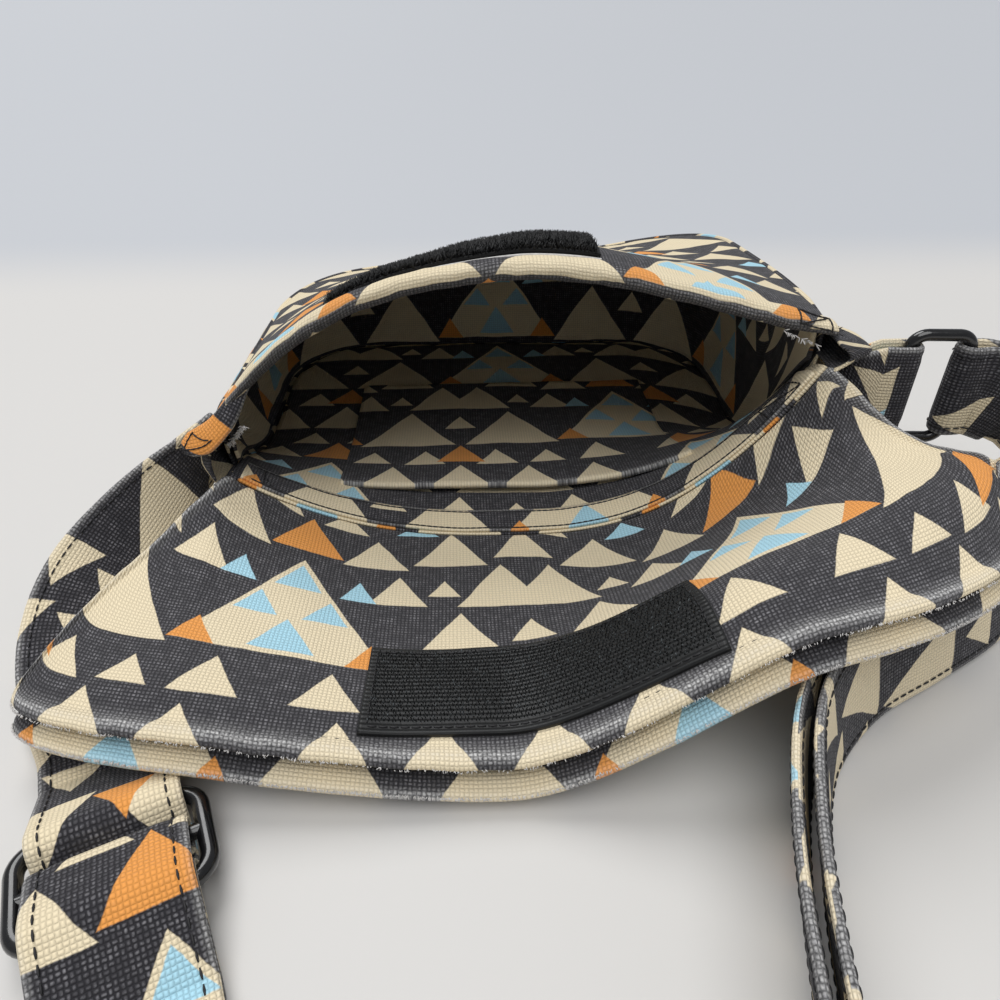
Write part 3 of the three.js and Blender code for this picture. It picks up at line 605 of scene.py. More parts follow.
cloth_sheet("front_panel_cloth", 110, 64, front_surface, (10, 30), rim_wear, smooth=1,
            node="front_panel")
cloth_sheet("front_lining_cloth", 80, 50, lining_surface, (40, 70),
            node="front_lining")

# %% [markdown]
# ## Gusset
# One strip runs round the left side, the bottom and the right side. It bulges most at the sunken left.
# A distance along the outline gives the place and the outward direction, and the strip is a grid
# bent along it, once for the outside and once for the lining.

# %% Gusset strips
LEFT_BULGE, RIGHT_BULGE, BULGE_LENGTH = 13, 6, 55
LAYER_GAP, SEAM_BITE = 0.5, 0.04
GUSSET_START = RIM_CORNER_SETBACK + ROLL_WIDTH + LAYER_GAP
STRAIGHT = BODY_LENGTH - CORNER_RADIUS
SIDE_RUN = STRAIGHT - GUSSET_START
ARC_RUN = CORNER_RADIUS * math.pi / 2
BOTTOM_RUN = 2 * (BODY_HALF - CORNER_RADIUS)
OUTLINE_RUN = 2 * SIDE_RUN + 2 * ARC_RUN + BOTTOM_RUN
GUSSET_CREASES, GUSSET_CREASE_RAMP = ((22, 1.6), (9, 0.5)), (20, 60)


def outline(distance):
    """Place and outward direction on the right half of the outline, mirrored for the left."""
    mirror = 1
    if distance > OUTLINE_RUN / 2:
        distance, mirror = OUTLINE_RUN - distance, -1
    if distance < SIDE_RUN:
        s = GUSSET_START + distance
        x, out_x, out_s = half_width(s), 1, 0
    elif distance < SIDE_RUN + ARC_RUN:
        angle = (distance - SIDE_RUN) / CORNER_RADIUS
        out_x, out_s = math.cos(angle), math.sin(angle)
        x = BODY_HALF - CORNER_RADIUS + CORNER_RADIUS * out_x
        s = STRAIGHT + CORNER_RADIUS * out_s
    else:
        x, s = BODY_HALF - CORNER_RADIUS - (distance - SIDE_RUN - ARC_RUN), BODY_LENGTH
        out_x, out_s = 0, 1
    return mirror * x, s, mirror * out_x, out_s


def bulge_at(x, s):
    most = lerp(LEFT_BULGE, RIGHT_BULGE, ease(-BODY_HALF, BODY_HALF, x))
    return most * ease(RIM_CORNER_SETBACK, BULGE_LENGTH, s)


def gusset_surface(inset, foot, head):
    def surface(u, v):
        x, s, out_x, out_s = outline((u + 1) / 2 * OUTLINE_RUN)
        low = back_height(x, s)
        high = min(front_height(x, s), front_height((1 - SEAM_BITE) * x, s))
        z = lerp(low + foot * steepness(back_height, x, s), high - head, v)
        arch = math.sin(math.pi * (z - low) / (high - low))
        crease = rumple(x + s, z, GUSSET_CREASES[0]) + rumple(x - s, z, GUSSET_CREASES[1])
        out = bulge_at(x, s) * arch - inset + crease * arch * ease(*GUSSET_CREASE_RAMP, s)
        return x + out_x * out, s + out_s * out, z
    return surface


cloth_sheet("gusset_cloth", 190, 14, gusset_surface(inset=0, foot=0.8, head=-0.4), (25, 12), smooth=1,
            node="gusset")
cloth_sheet("gusset_lining_cloth", 150, 12, gusset_surface(inset=2.6, foot=3.2, head=2.2), (70, 40),
            node="gusset_lining")

# %% [markdown]
# ## Corner folds
# Where the gusset ends, its spare cloth is pleated and closes the mouth's corners, low at the sunken left
# and over the ring's tab at the right. A gather could be simulated, but each pleat is one small bulge
# that runs out into the gusset, so a formula holds it where the seams hold the real one.

# %% Folds that close the mouth's corners
FOLD_FRONT, FOLD_BACK, FOLD_DROP, FOLD_DROP_RAMP = 2, 30, 4, (18, 8)
FOLD_OPENING, FOLD_CLOSING, FOLD_SINK = (-4, 7), 12, 0.8
FOLD_BELOW_RIM, FOLD_TALL, FOLD_CREASE = 1, 20, (9, 0.5)


def corner_fold(side, most, lowest):
    def surface(u, v):
        s = lerp(FOLD_FRONT, FOLD_BACK, (u + 1) / 2)
        low = max(lowest, back_height(side * BODY_HALF, s) - FOLD_DROP * ease(*FOLD_DROP_RAMP, s))
        high = front_height(side * BODY_HALF, s) - FOLD_BELOW_RIM
        free = most * ease(FOLD_FRONT + FOLD_OPENING[0], FOLD_FRONT + FOLD_OPENING[1], s)
        sewn = bulge_at(side * BODY_HALF, s) - FOLD_SINK
        out = lerp(free, sewn, ease(FOLD_BACK - FOLD_CLOSING, FOLD_BACK, s)) * math.sin(math.pi * v)
        return side * (half_width(s) + out + rumple(s, FOLD_TALL * v, FOLD_CREASE)), s, lerp(low, high, v)
    return surface


cloth_sheet("left_corner_fold", 16, 16, corner_fold(-1, most=6.5, lowest=0), (8, 98), smooth=1)
cloth_sheet("right_corner_fold", 16, 16, corner_fold(1, most=14, lowest=60), (38, 62), smooth=1)

# %% [markdown]
# ## Back panel, back lining and slip pocket
# The back lies on the table and its two mouth corners are pulled up by the strap. The pocket is a plain
# sheet sewn on the lining, open towards the mouth, with a stitched hem that stands a little away.

# %% Back sheets and pocket
BACK_LINING_LEVEL, BACK_LINING_INSET = 2.9, 2
BACK_CREASE, BACK_CREASE_RAMP, BACK_SEAT = (26, 1.0), (8, 25), 0.6
POCKET_HALF, POCKET_START, POCKET_DEPTH = 64, 24, 90
POCKET_SEAT, POCKET_LIFT, POCKET_CREASE = 4.9, 4, (20, 0.8)
POCKET_HEM_CLOTH, POCKET_HEM_RAMP = 2.2, (0.1, 0.0)
POCKET_WEAR, POCKET_WEAR_RAMP = 0.6, (0.03, 0.0)


def back_surface(level, inset):
    def surface(u, v):
        s = lerp(fold_setback(u), BODY_LENGTH - inset, v)
        x = u * half_width(s, inset)
        wave = rumple(x, s, BACK_CREASE) * ease(*BACK_CREASE_RAMP, s) + BACK_SEAT
        return x, s, back_height(x, s) + (level + wave) * steepness(back_height, x, s)
    return surface


def pocket_surface(u, v):
    x = u * POCKET_HALF
    s = POCKET_START + POCKET_DEPTH * v
    lift = (POCKET_LIFT * (1 - v) ** 3 + rumple(x, s, POCKET_CREASE)) * (1 - u * u)
    return x, s, back_height(x, s) + POCKET_SEAT * steepness(back_height, x, s) + lift


def pocket_hem(u, v):
    return ease(*POCKET_HEM_RAMP, v)


def pocket_wear(u, v):
    return POCKET_WEAR * ease(*POCKET_WEAR_RAMP, v)


cloth_sheet("back_panel_cloth", 70, 44, back_surface(CLOTH, 0), (60, 20),
            node="back_panel")
cloth_sheet("back_lining_cloth", 90, 60, back_surface(BACK_LINING_LEVEL, BACK_LINING_INSET), (0, 48),
            node="back_lining")
cloth_sheet("inner_pocket_cloth", 70, 40, pocket_surface, (20, 8), pocket_wear, pocket_hem, POCKET_HEM_CLOTH,
            node="inner_pocket")

# %% [markdown]
# ## Flap
# The flap is two cloths, each with its own turned and topstitched edge, so two soft edges lie one over
# the other. It leaves the fold as wide as the mouth, flares to a rounded edge, sags to the table in the
# middle and rides up at the right, where the strap lies under it.

# %% Plan and height of the flap
FLAP_LENGTH, FLAP_LEFT, FLAP_RIGHT, FLAP_HALF = 100, 82, 50, 130
FLAP_CENTRE_LIFT, FLAP_LEFT_LIFT, FLAP_RIGHT_LIFT = 5, 13, 38
FLAP_SAG, FLAP_SPREAD, SPREAD_FROM = 1.3, 4, 45
FLAP_LEFT_RISE, FLAP_RIGHT_RISE = (20, 90), (-12, 62)
FLAP_LOW_RAMP, FLAP_HIGH_RAMP = (0.2, 0.95), (0.1, 0.8)
FLAP_CREASE, FLAP_CREASE_RAMP, FLAP_SMALL_CREASE = (46, 1.8), (0, 30), (15, 0.45)
LAYER_STEP = 2.1


def flap_plan(u, v, overhang):
    angle = u * math.pi / 2
    fold_x = u * half_width(fold_setback(u))
    reach = lerp(FLAP_LEFT if u < 0 else FLAP_RIGHT, FLAP_LENGTH, math.cos(angle)) + overhang
    x = lerp(fold_x, FLAP_HALF * math.sin(angle), 1 - (1 - v) ** 2)
    return x, fold_setback(u) - LAYER_GAP - reach * v


def flap_height(x, s):
    outside = min(1, abs(x) / FLAP_HALF)
    reach = lerp(FLAP_LEFT if x < 0 else FLAP_RIGHT, FLAP_LENGTH, math.sqrt(1 - outside ** 2))
    u = min(1, abs(x) / MOUTH_HALF)
    v = min(1, max(0, (fold_setback(u) - s) / reach))
    fold = back_height(math.copysign(u * half_width(fold_setback(u)), x), fold_setback(u))
    low = lerp(FLAP_CENTRE_LIFT, FLAP_LEFT_LIFT, ease(*FLAP_LEFT_RISE, -x))
    high = (FLAP_RIGHT_LIFT - FLAP_CENTRE_LIFT) * ease(*FLAP_RIGHT_RISE, x)
    return fold * (1 - v) ** FLAP_SAG + low * ease(*FLAP_LOW_RAMP, v) + high * ease(*FLAP_HIGH_RAMP, v)


def flap_spread(s):
    return FLAP_SPREAD * ease(SPREAD_FROM, FLAP_LENGTH, -s)


def flap_wave(x, s):
    return rumple(x, s, FLAP_CREASE) * ease(*FLAP_CREASE_RAMP, -s) + rumple(x, s, FLAP_SMALL_CREASE)


def flap_face(x, s):
    """Height of the flap's upper face, which the tape and the stitches lie on."""
    lift = LAYER_STEP * steepness(flap_height, x, s) + flap_spread(s)
    return flap_height(x, s) + lift + CLOTH + flap_wave(x, s)


print("height of the flap's middle edge:", round(flap_face(0, -FLAP_LENGTH), 1), "mm")

# %% Hem and wear of the flap
FLAP_HEM, FLAP_SEAM, FLAP_CREST = 7, 6.6, 3.2
FLAP_HEM_RAMP = (FLAP_HEM + 1, FLAP_HEM - 2)
HEM_RISE, HEM_ROUNDNESS, HEM_GROOVE, HEM_GROOVE_WIDTH = 1.1, 0.7, 0.35, 0.9
CREST_WEAR, CREST_WIDTH, SEAM_WEAR, SEAM_WIDTH = 0.95, 1.5, 0.15, 1.5
FLAP_EDGE_WEAR, FLAP_EDGE_WIDTH, WORN_ALL_OVER = 0.85, 1.3, 0.04


def from_flap_edge(u, v):
    return min((1 - v) * FLAP_LENGTH, (1 - abs(u)) * FLAP_HALF)


def hem_puff(distance):
    groove = HEM_GROOVE * math.exp(-((distance - FLAP_SEAM) / HEM_GROOVE_WIDTH) ** 2)
    if distance >= FLAP_HEM:
        return -groove
    return HEM_RISE * math.sin(math.pi * distance / FLAP_HEM) ** HEM_ROUNDNESS - groove


def flap_lining_wear(u, w):
    distance = from_flap_edge(u, 1 - w)
    crest = math.exp(-((distance - FLAP_CREST) / CREST_WIDTH) ** 2)
    seam = math.exp(-((distance - FLAP_SEAM) / SEAM_WIDTH) ** 2)
    return CREST_WEAR * crest + SEAM_WEAR * seam + WORN_ALL_OVER


def flap_outer_wear(u, w):
    edge = math.exp(-(from_flap_edge(u, 1 - w) / FLAP_EDGE_WIDTH) ** 2)
    return FLAP_EDGE_WEAR * edge + WORN_ALL_OVER


def flap_hem(u, w):
    return ease(*FLAP_HEM_RAMP, from_flap_edge(u, 1 - w))


print("hem of the flap:", FLAP_HEM, "mm wide")

# %% The flap's two cloths
OVERHANG, LINING_RIPPLE, OUTER_RIPPLE = 3, (6, 0.5), (7, 0.4)


def flap_lining_surface(u, w):
    x, s = flap_plan(u, 1 - w, 0)
    size, depth = LINING_RIPPLE
    ripple = depth * noise.noise((x / size, s / size, 8)) * flap_hem(u, w)
    return x, s, flap_face(x, s) + hem_puff(from_flap_edge(u, 1 - w)) + ripple


def flap_outer_surface(u, w):
    x, s = flap_plan(u, 1 - w, OVERHANG)
    size, depth = OUTER_RIPPLE
    ripple = depth * noise.noise((x / size, s / size, 3)) * flap_hem(u, w)
    return x, s, flap_height(x, s) + CLOTH + flap_wave(x, s) + ripple


cloth_sheet("flap_lining_cloth", 150, 62, flap_lining_surface, (0, 9), flap_lining_wear, flap_hem, HEM_CLOTH,
            smooth=1, node="flap_lining")
cloth_sheet("flap_outer_cloth", 110, 44, flap_outer_surface, (33, 48), flap_outer_wear, flap_hem, HEM_CLOTH,
            smooth=1, node="flap_outer")

# %% [markdown]
# ## Facing band
# Inside the mouth a narrow band of the same cloth covers the seam between the flap and the lining. It
# is a strip sewn down along both edges, cut from another place of the print, with a pale rubbed inner
# edge. The strip follows the sagging fold, so it is one more sheet over the back's own height.

# %% Facing band along the fold
FACING_WIDTH, FACING_INSET, FACING_TOP, FACING_CREASE = 12, 5, 4.8, (14, 0.35)
INNER_EDGE_WEAR, INNER_EDGE_RAMP = 0.95, (0.9, 1.0)
FOLD_EDGE_WEAR, FOLD_EDGE_RAMP = 0.35, (0.1, 0.0)


def facing_face(x, s):
    return back_height(x, s) + (FACING_TOP + rumple(x, s, FACING_CREASE)) * steepness(back_height, x, s)


def facing_spot(u, distance):
    s = fold_setback(u) + distance
    return u * half_width(s, FACING_INSET), s


def facing_surface(u, v):
    x, s = facing_spot(u, lerp(LAYER_GAP, FACING_WIDTH, v))
    return x, s, facing_face(x, s)


def facing_wear(u, v):
    return INNER_EDGE_WEAR * ease(*INNER_EDGE_RAMP, v) + FOLD_EDGE_WEAR * ease(*FOLD_EDGE_RAMP, v)


cloth_sheet("mouth_facing_cloth", 130, 12, facing_surface, (46, 48), facing_wear,
            node="mouth_facing")

# %% [markdown]
# ## Stitches
# Every seam that shows is a row of short black stitches that sink a little into the cloth. A texture
# could draw them, but real ones catch the light, so each stitch is a small pointed bead of thread laid
# along its row. One row is a path of places with the direction that faces up from the cloth.

# %% Helpers that copy a small shape to many places
def repeated(template, places):
    """A mesh with a copy of a small bmesh at each of the places, which are 4 by 4 matrices. A duplicate
    operator could copy it too, but it is slow for thousands of copies."""
    template.verts.index_update()
    corners = np.array([[*v.co, 1] for v in template.verts])
    faces = [[v.index for v in f.verts] for f in template.faces]
    template.free()
    points = np.concatenate([corners @ np.array(place).T for place in places])[:, :3]
    copies = [[i + k * len(corners) for i in face] for k in range(len(places)) for face in faces]
    mesh = bpy.data.meshes.new("copies")
    mesh.from_pydata(points.tolist(), [], copies)
    return mesh


def bead():
    bm = bmesh.new()
    bmesh.ops.create_uvsphere(bm, u_segments=6, v_segments=5, radius=MM)
    return bm


def scattered_piece(name, template, places, material):
    bm = bmesh.new()
    bm.from_mesh(repeated(template, places))
    print(name, "copies:", len(places))
    finish_piece(name, bm, [material])


print("corners of one bead:", len(bead().verts))

# %% Helpers that sew rows of stitches
STITCH_PITCH, STITCH_LENGTH, THREAD_RADIUS, STITCH_RISE = 3.0, 2.6, 0.29, 0.12


def sew(path, pitch=STITCH_PITCH):
    """The places of the stitches along a path of (place, facing) pairs in millimetres."""
    places = [Vector(p) for p, _ in path]
    lengths = [0]
    for before, after in zip(places, places[1:]):
        lengths.append(lengths[-1] + (after - before).length)
    count = int(lengths[-1] / pitch)
    step, sewn = 0, []
    for k in range(count):
        distance = (k + 0.5) * lengths[-1] / count
        while lengths[step + 1] < distance:
            step += 1
        share = (distance - lengths[step]) / (lengths[step + 1] - lengths[step])
        along = (places[step + 1] - places[step]).normalized()
        facing = Vector(path[step][1]).lerp(Vector(path[step + 1][1]), share)
        facing = (facing - along * facing.dot(along)).normalized()
        side = facing.cross(along)
        at = places[step].lerp(places[step + 1], share) + facing * STITCH_RISE
        turn = Matrix((along * STITCH_LENGTH / 2, side * THREAD_RADIUS, facing * THREAD_RADIUS)).transposed()
        sewn.append(Matrix.Translation(at * MM) @ turn.to_4x4())
    return sewn


def on_surface(height, spots):
    """A path over a height function, through (x, s) spots, with the direction that faces up from it."""
    path = []
    for x, s in spots:
        here = height(x, s)
        facing = Vector((here - height(x + 1, s), here - height(x, s + 1), 1)).normalized()
        path.append((Vector((x, MOUTH_Y + s, here)), facing))
    return path


def sewn_piece(name, paths, pitch=STITCH_PITCH):
    scattered_piece(name, bead(), [place for path in paths for place in sew(path, pitch)], thread)


print("stitch length:", STITCH_LENGTH, "mm, a stitch every", STITCH_PITCH, "mm")

# %% [markdown]
# The rim has a row in the groove behind its roll and one under it. The flap has a row inside its edge. The
# facing band has a row along each edge, and a few tacks at its ends. The rows could be lines that are shrunk
# onto the cloth, but each asks the height that made the cloth, so it lies right at once.

# %% Stitches of the rim, the flap and the facing band
RIM_ROW_END, FACING_ROW_END = 0.985, 0.97
RIM_THICKNESS, INNER_ROW_BEFORE, FLAP_GROOVE_DROP = 2.1, 0.5, 0.27
FACING_NEAR, FACING_FAR, FACING_PITCH = 1.2, 10.6, 2.15
FACING_TACKS = [
    ((-0.93, FACING_NEAR), (-0.94, FACING_FAR)), ((-0.9, FACING_NEAR), (-0.93, 6)),
    ((0.88, FACING_NEAR), (0.88, FACING_FAR)), ((0.88, FACING_NEAR), (0.97, FACING_FAR)),
    ((0.88, FACING_FAR), (0.97, FACING_NEAR)), ((0.97, FACING_NEAR), (0.97, FACING_FAR))]


def steps(count):
    return [i / count for i in range(count + 1)]


def rim_row(from_rim):
    spots = []
    for t in steps(90):
        u = lerp(-RIM_ROW_END, RIM_ROW_END, t)
        s = rim_setback(u) + from_rim
        spots.append((u * half_width(s), s))
    return on_surface(lambda x, s: front_top(x, s) - GROOVE_DEPTH, spots)


def inner_rim_row(from_rim):
    return [(place - Vector((0, 0, RIM_THICKNESS)), -facing) for place, facing in rim_row(from_rim)]


def flap_edge_row(distance):
    spots = []
    for t in steps(220):
        u = lerp(-1, 1, t) * (1 - distance / FLAP_HALF)
        spots.append(flap_plan(u, 1 - distance / FLAP_LENGTH, 0))
    return on_surface(lambda x, s: flap_face(x, s) - FLAP_GROOVE_DROP, spots)


def facing_row(start, end, count=12):
    """A row on the facing band, between two (u, distance) places."""
    spots = [facing_spot(lerp(start[0], end[0], t), lerp(start[1], end[1], t)) for t in steps(count)]
    return on_surface(facing_face, spots)


rim_rows = [rim_row(ROLL_WIDTH + GROOVE_BEHIND), inner_rim_row(ROLL_WIDTH - INNER_ROW_BEFORE)]
sewn_piece("rim_stitches", rim_rows)
sewn_piece("flap_stitches", [flap_edge_row(FLAP_SEAM)])
facing_rows = [facing_row((-FACING_ROW_END, d), (FACING_ROW_END, d), 140) for d in (FACING_NEAR, FACING_FAR)]
facing_rows += [facing_row(*ends) for ends in FACING_TACKS]
sewn_piece("facing_stitches", facing_rows, FACING_PITCH)

# %% [markdown]
# ## Strap
# The strap is canvas folded to a flat strip with a stitched edge on both sides. It is sewn to the left
# gusset, weaves through the slider, runs out to its loop, turns round the ring at the right and comes
# back to be wrapped round the slider's middle bar. A flat strip is made directly: a section is carried
# along listed points. It is cut where the slider and the ring move it, so that each part follows.

# %% A smooth line through points
def curve_point(points, t):
    """A place on a smooth line through the points, with even parameter steps from point to point."""
    spans = len(points) - 1
    k = min(int(t * spans), spans - 1)
    w = t * spans - k
    p1, p2 = points[k], points[k + 1]
    p0 = points[k - 1] if k else p1 * 2 - p2
    p3 = points[k + 2] if k + 2 <= spans else p2 * 2 - p1
    d0, d1, d2 = (math.sqrt((b - a).length) for a, b in ((p0, p1), (p1, p2), (p2, p3)))
    t1 = ((p1 - p0) / d0 - (p2 - p0) / (d0 + d1) + (p2 - p1) / d1) * d1
    t2 = ((p2 - p1) / d1 - (p3 - p1) / (d1 + d2) + (p3 - p2) / d2) * d1
    bend = (p2 - p1) * 3 - t1 * 2 - t2
    return p1 + t1 * w + bend * w ** 2 + ((p1 - p2) * 2 + t1 + t2) * w ** 3


two_points = [Vector((0, 0, 0)), Vector((2, 0, 0))]
print("half way between two points:", tuple(curve_point(two_points, 0.5)))

# %% Frames along the strap
STRAP_WIDTH, STRAP_THICK, STRAP_PINCH, STRAP_TIP = 32, 2.4, 20, 7
TABLE_GAP, CLEAR, STACK, RUN_SPREAD, LAY = 0.3, 0.4, 2.8, 2.2, 74
ANCHOR_SPOTS, ANCHOR_LEAVE = (36, 28, 20), (0, 0.3, 1.8)
WIRE, BAR = 2.0, 1.8
PER_SPAN, TURN_STEPS = 6, 14
UP = Vector((0, 0, 1))


def route(points):
    """Frames along listed points (x, s, height, tilt, width)."""
    places = [Vector((p[0], MOUTH_Y + p[1], p[2])) for p in points]
    spans = len(points) - 1
    frames = []
    for t in steps(spans * PER_SPAN):
        k = min(int(t * spans), spans - 1)
        share = t * spans - k
        along = (curve_point(places, min(1, t + 1e-4)) - curve_point(places, max(0, t - 1e-4))).normalized()
        tilt = math.radians(lerp(points[k][3], points[k + 1][3], share))
        left = UP.cross(along).normalized()
        across = left * math.cos(tilt) + UP * math.sin(tilt)
        frames.append({
            "at": curve_point(places, t), "across": across, "along": along, "t": t,
            "normal": along.cross(across).normalized(), "width": lerp(points[k][4], points[k + 1][4], share)})
    return frames


def on_table(f, spread):
    edge = abs(f["across"].z) * f["width"] / 2
    thick = abs(f["normal"].z) * (STRAP_THICK / 2 + spread)
    low = f["at"].z - edge - thick - TABLE_GAP
    return {**f, "at": f["at"] - UP * min(0, low)}


def shifted(f, distance):
    return {**f, "at": f["at"] + f["normal"] * distance}


def half_turn(f, radius):
    turn = []
    for t in steps(TURN_STEPS)[1:-1]:
        out = f["along"] * radius * math.sin(t * math.pi) - f["normal"] * radius * math.cos(t * math.pi)
        turn.append({**f, "at": f["at"] + out})
    return turn


print("strap section:", STRAP_WIDTH, "by", STRAP_THICK, "mm")

# %% [markdown]
# The slider's bars set the radii of the strap's turns over, under and round them, so the route is worked
# out from the wire, the strap's thickness and one clearance. The rest of the route is given point by point.

# %% The slider's own measures and the turns in it
SLOT_ROOM = 1.2
OVER, WRAP = WIRE + CLEAR + STRAP_THICK / 2, BAR + CLEAR + STRAP_THICK / 2
UNDER = WRAP + STRAP_THICK + CLEAR
SLIDER_PITCH = UNDER + OVER + SLOT_ROOM
SLIDER_HEIGHT = TABLE_GAP + UNDER + STRAP_THICK / 2
SLIDER_TURN, SLIDER_PLACE = math.radians(24), (-95, -116)
CROSS_ANGLE = math.acos((UNDER + OVER) / SLIDER_PITCH)
TOP_ANGLE = math.asin((OVER + STACK - WRAP) / SLIDER_PITCH)
RISE, STRAP_WRAP_END = math.radians(62), math.radians(335)
FOOT = SLIDER_PITCH + OVER * math.cos(RISE) + (UNDER + OVER * math.sin(RISE)) * math.tan(RISE)
SLIDER_ALONG = Vector((math.sin(SLIDER_TURN), -math.cos(SLIDER_TURN), 0))
SLIDER_ACROSS = UP.cross(SLIDER_ALONG)
SLIDER_CENTRE = Vector((SLIDER_PLACE[0], MOUTH_Y + SLIDER_PLACE[1], SLIDER_HEIGHT))


def slider_arc(centre, radius, start, end, count):
    arc = []
    for t in steps(count):
        angle = lerp(start, end, t)
        at = SLIDER_CENTRE + SLIDER_ALONG * (centre + radius * math.cos(angle))
        at += UP * radius * math.sin(angle)
        arc.append({"at": at, "across": SLIDER_ACROSS, "width": STRAP_WIDTH})
    return arc


weave = [
    *slider_arc(-SLIDER_PITCH, OVER, math.pi - RISE, CROSS_ANGLE, 10),
    *slider_arc(0, UNDER, math.pi + CROSS_ANGLE, 2 * math.pi - CROSS_ANGLE, 12),
    *slider_arc(SLIDER_PITCH, OVER, math.pi - CROSS_ANGLE, RISE, 10)]
wrapped = [
    *slider_arc(SLIDER_PITCH, OVER + STACK, RISE, math.pi / 2 + TOP_ANGLE, 6),
    *slider_arc(0, WRAP, math.pi / 2 + TOP_ANGLE, STRAP_WRAP_END, 18)]
print("pitch of the slider's bars:", round(SLIDER_PITCH, 1), "mm, frames through it:", len(weave))

# %% The run from the gusset to the slider
STRAP_EASING = 10


def gusset_face(side, s, off):
    return side * (half_width(s) + bulge_at(side * BODY_HALF, s) + LAYER_GAP + off)


def rest_height(tilt, spread):
    angle = math.radians(tilt)
    return TABLE_GAP + STRAP_WIDTH / 2 * abs(math.sin(angle)) + (STRAP_THICK / 2 + spread) * math.cos(angle)


def foot(distance):
    at = SLIDER_CENTRE + SLIDER_ALONG * distance
    return at.x, at.y - MOUTH_Y


def sewn_spot(s, leave):
    middle = (back_height(-BODY_HALF, s) + front_height(-BODY_HALF, s)) / 2
    width = lerp(STRAP_TIP, STRAP_PINCH, (ANCHOR_SPOTS[0] - s) / (ANCHOR_SPOTS[0] - ANCHOR_SPOTS[2]))
    return gusset_face(-1, s, STRAP_THICK / 2) - leave, s, middle, -90, width


single = route([
    *[sewn_spot(s, leave) for s, leave in zip(ANCHOR_SPOTS, ANCHOR_LEAVE)],
    (gusset_face(-1, ANCHOR_SPOTS[2], STRAP_THICK / 2) - 7, ANCHOR_SPOTS[2] - 9, 28, -88, STRAP_PINCH + 4),
    (-120, -4, 19, -62, STRAP_WIDTH - 3),
    *[(x, s, rest_height(tilt, 0), tilt, STRAP_WIDTH) for x, s, tilt in (
        (-129, -22, -40), (-130, -42, -20), (-123, -62, -7), (*foot(-FOOT - STRAP_EASING), -2),
        (*foot(-FOOT), 0))],
])
single = [on_table(f, 0) for f in single]
print("frames from the gusset to the slider:", len(single))

# %% The doubled run from the slider to the ring, and the whole route
SLIDER_STRAIGHT, STACK_RAMP, RING_RAMP = 28, (0.06, 0.25), (0.86, 0.98)
RING_PLACE, RING_HEIGHT, RING_PITCH, RING_TURN = (147, 14), 48, 20, math.radians(176)
RING_ALONG = Vector((math.cos(RING_TURN), math.sin(RING_TURN), 0))
RING_OUTER = Vector((RING_PLACE[0], MOUTH_Y + RING_PLACE[1], RING_HEIGHT))
RING_INNER = RING_OUTER + RING_ALONG * RING_PITCH
RING_BEND = (RING_PLACE[0] + 22, 4)
TURN_RADIUS = WIRE + CLEAR + STRAP_THICK / 2
LOOP_POINTS = [
    (*foot(FOOT), 0), (*foot(FOOT + SLIDER_STRAIGHT), 0), (-56, -192, 20), (-45, -220, 46), (-29, -245, 66),
    (-4, -258, LAY), (21, -250, LAY), (34, -224, LAY), (38, -190, LAY), (42, -158, LAY), (50, -126, LAY),
    (63, -97, LAY), (83, -78, LAY), (106, -66, LAY), (130, -53, LAY), (151, -37, LAY),
]
loop = route([
    *[(x, s, rest_height(tilt, RUN_SPREAD if tilt else STACK / 2), tilt, STRAP_WIDTH)
      for x, s, tilt in LOOP_POINTS],
    (RING_PLACE[0] + 20, -16, 28, 80, STRAP_WIDTH), (*RING_BEND, 42, 88, STRAP_WIDTH),
    (RING_OUTER.x + 8, RING_PLACE[1] - 0.6, RING_HEIGHT, 90, STRAP_WIDTH),
    (RING_OUTER.x, RING_PLACE[1], RING_HEIGHT, 90, STRAP_WIDTH),
])


def loop_spread(t):
    run = lerp(STACK / 2, RUN_SPREAD, ease(*STACK_RAMP, t))
    return lerp(run, TURN_RADIUS, ease(*RING_RAMP, t))


laid = [on_table(f, loop_spread(f["t"])) for f in loop]
outward = [shifted(f, -loop_spread(f["t"])) for f in laid]
homeward = [shifted(f, loop_spread(f["t"])) for f in laid][::-1]
turned = half_turn(loop[-1], TURN_RADIUS)
strap_frames = [*single, *weave, *outward, *turned, *homeward, *wrapped]
print("frames along the strap:", len(strap_frames))

# %% [markdown]
# A section is carried along the frames: a grid wraps once round the strip, its two side columns are
# merged and its ends are filled. The section is thick at its turned edges and dips at the stitch rows.

# %% Sections of the strap and the wire
STRAP_STITCH, STITCH_GROOVE, STITCH_GROOVE_WIDTH = 12.9, 0.3, 0.9
STRAP_SIDE, STRAP_SQUARENESS, STRAP_FULLNESS, WIRE_SIDES = 16, 14, 1.02, 16


def strap_section(width):
    half, ring = width / 2, []
    for k in range(2 * STRAP_SIDE):
        side = 1 if k < STRAP_SIDE else -1
        a = half * math.cos(math.pi * (k % STRAP_SIDE + 0.5) / STRAP_SIDE) * side
        share = abs(a) / half
        from_row = share * STRAP_WIDTH / 2 - STRAP_STITCH
        groove = STITCH_GROOVE * math.exp(-(from_row / STITCH_GROOVE_WIDTH) ** 2)
        rounded = (1 - share ** STRAP_SQUARENESS) ** 0.5
        ring.append((a, side * STRAP_THICK / 2 * rounded * (STRAP_FULLNESS - groove)))
    return ring


def wire_section(radius):
    angles = [2 * math.pi * k / WIRE_SIDES for k in range(WIRE_SIDES)]
    return [(radius * math.cos(angle), radius * math.sin(angle)) for angle in angles]


print("corners in the strap's section:", len(strap_section(STRAP_WIDTH)))

# %% Helper that sweeps a section along frames
EDGE_WEAR, EDGE_WEAR_RAMP = 0.65, (0.86, 0.98)


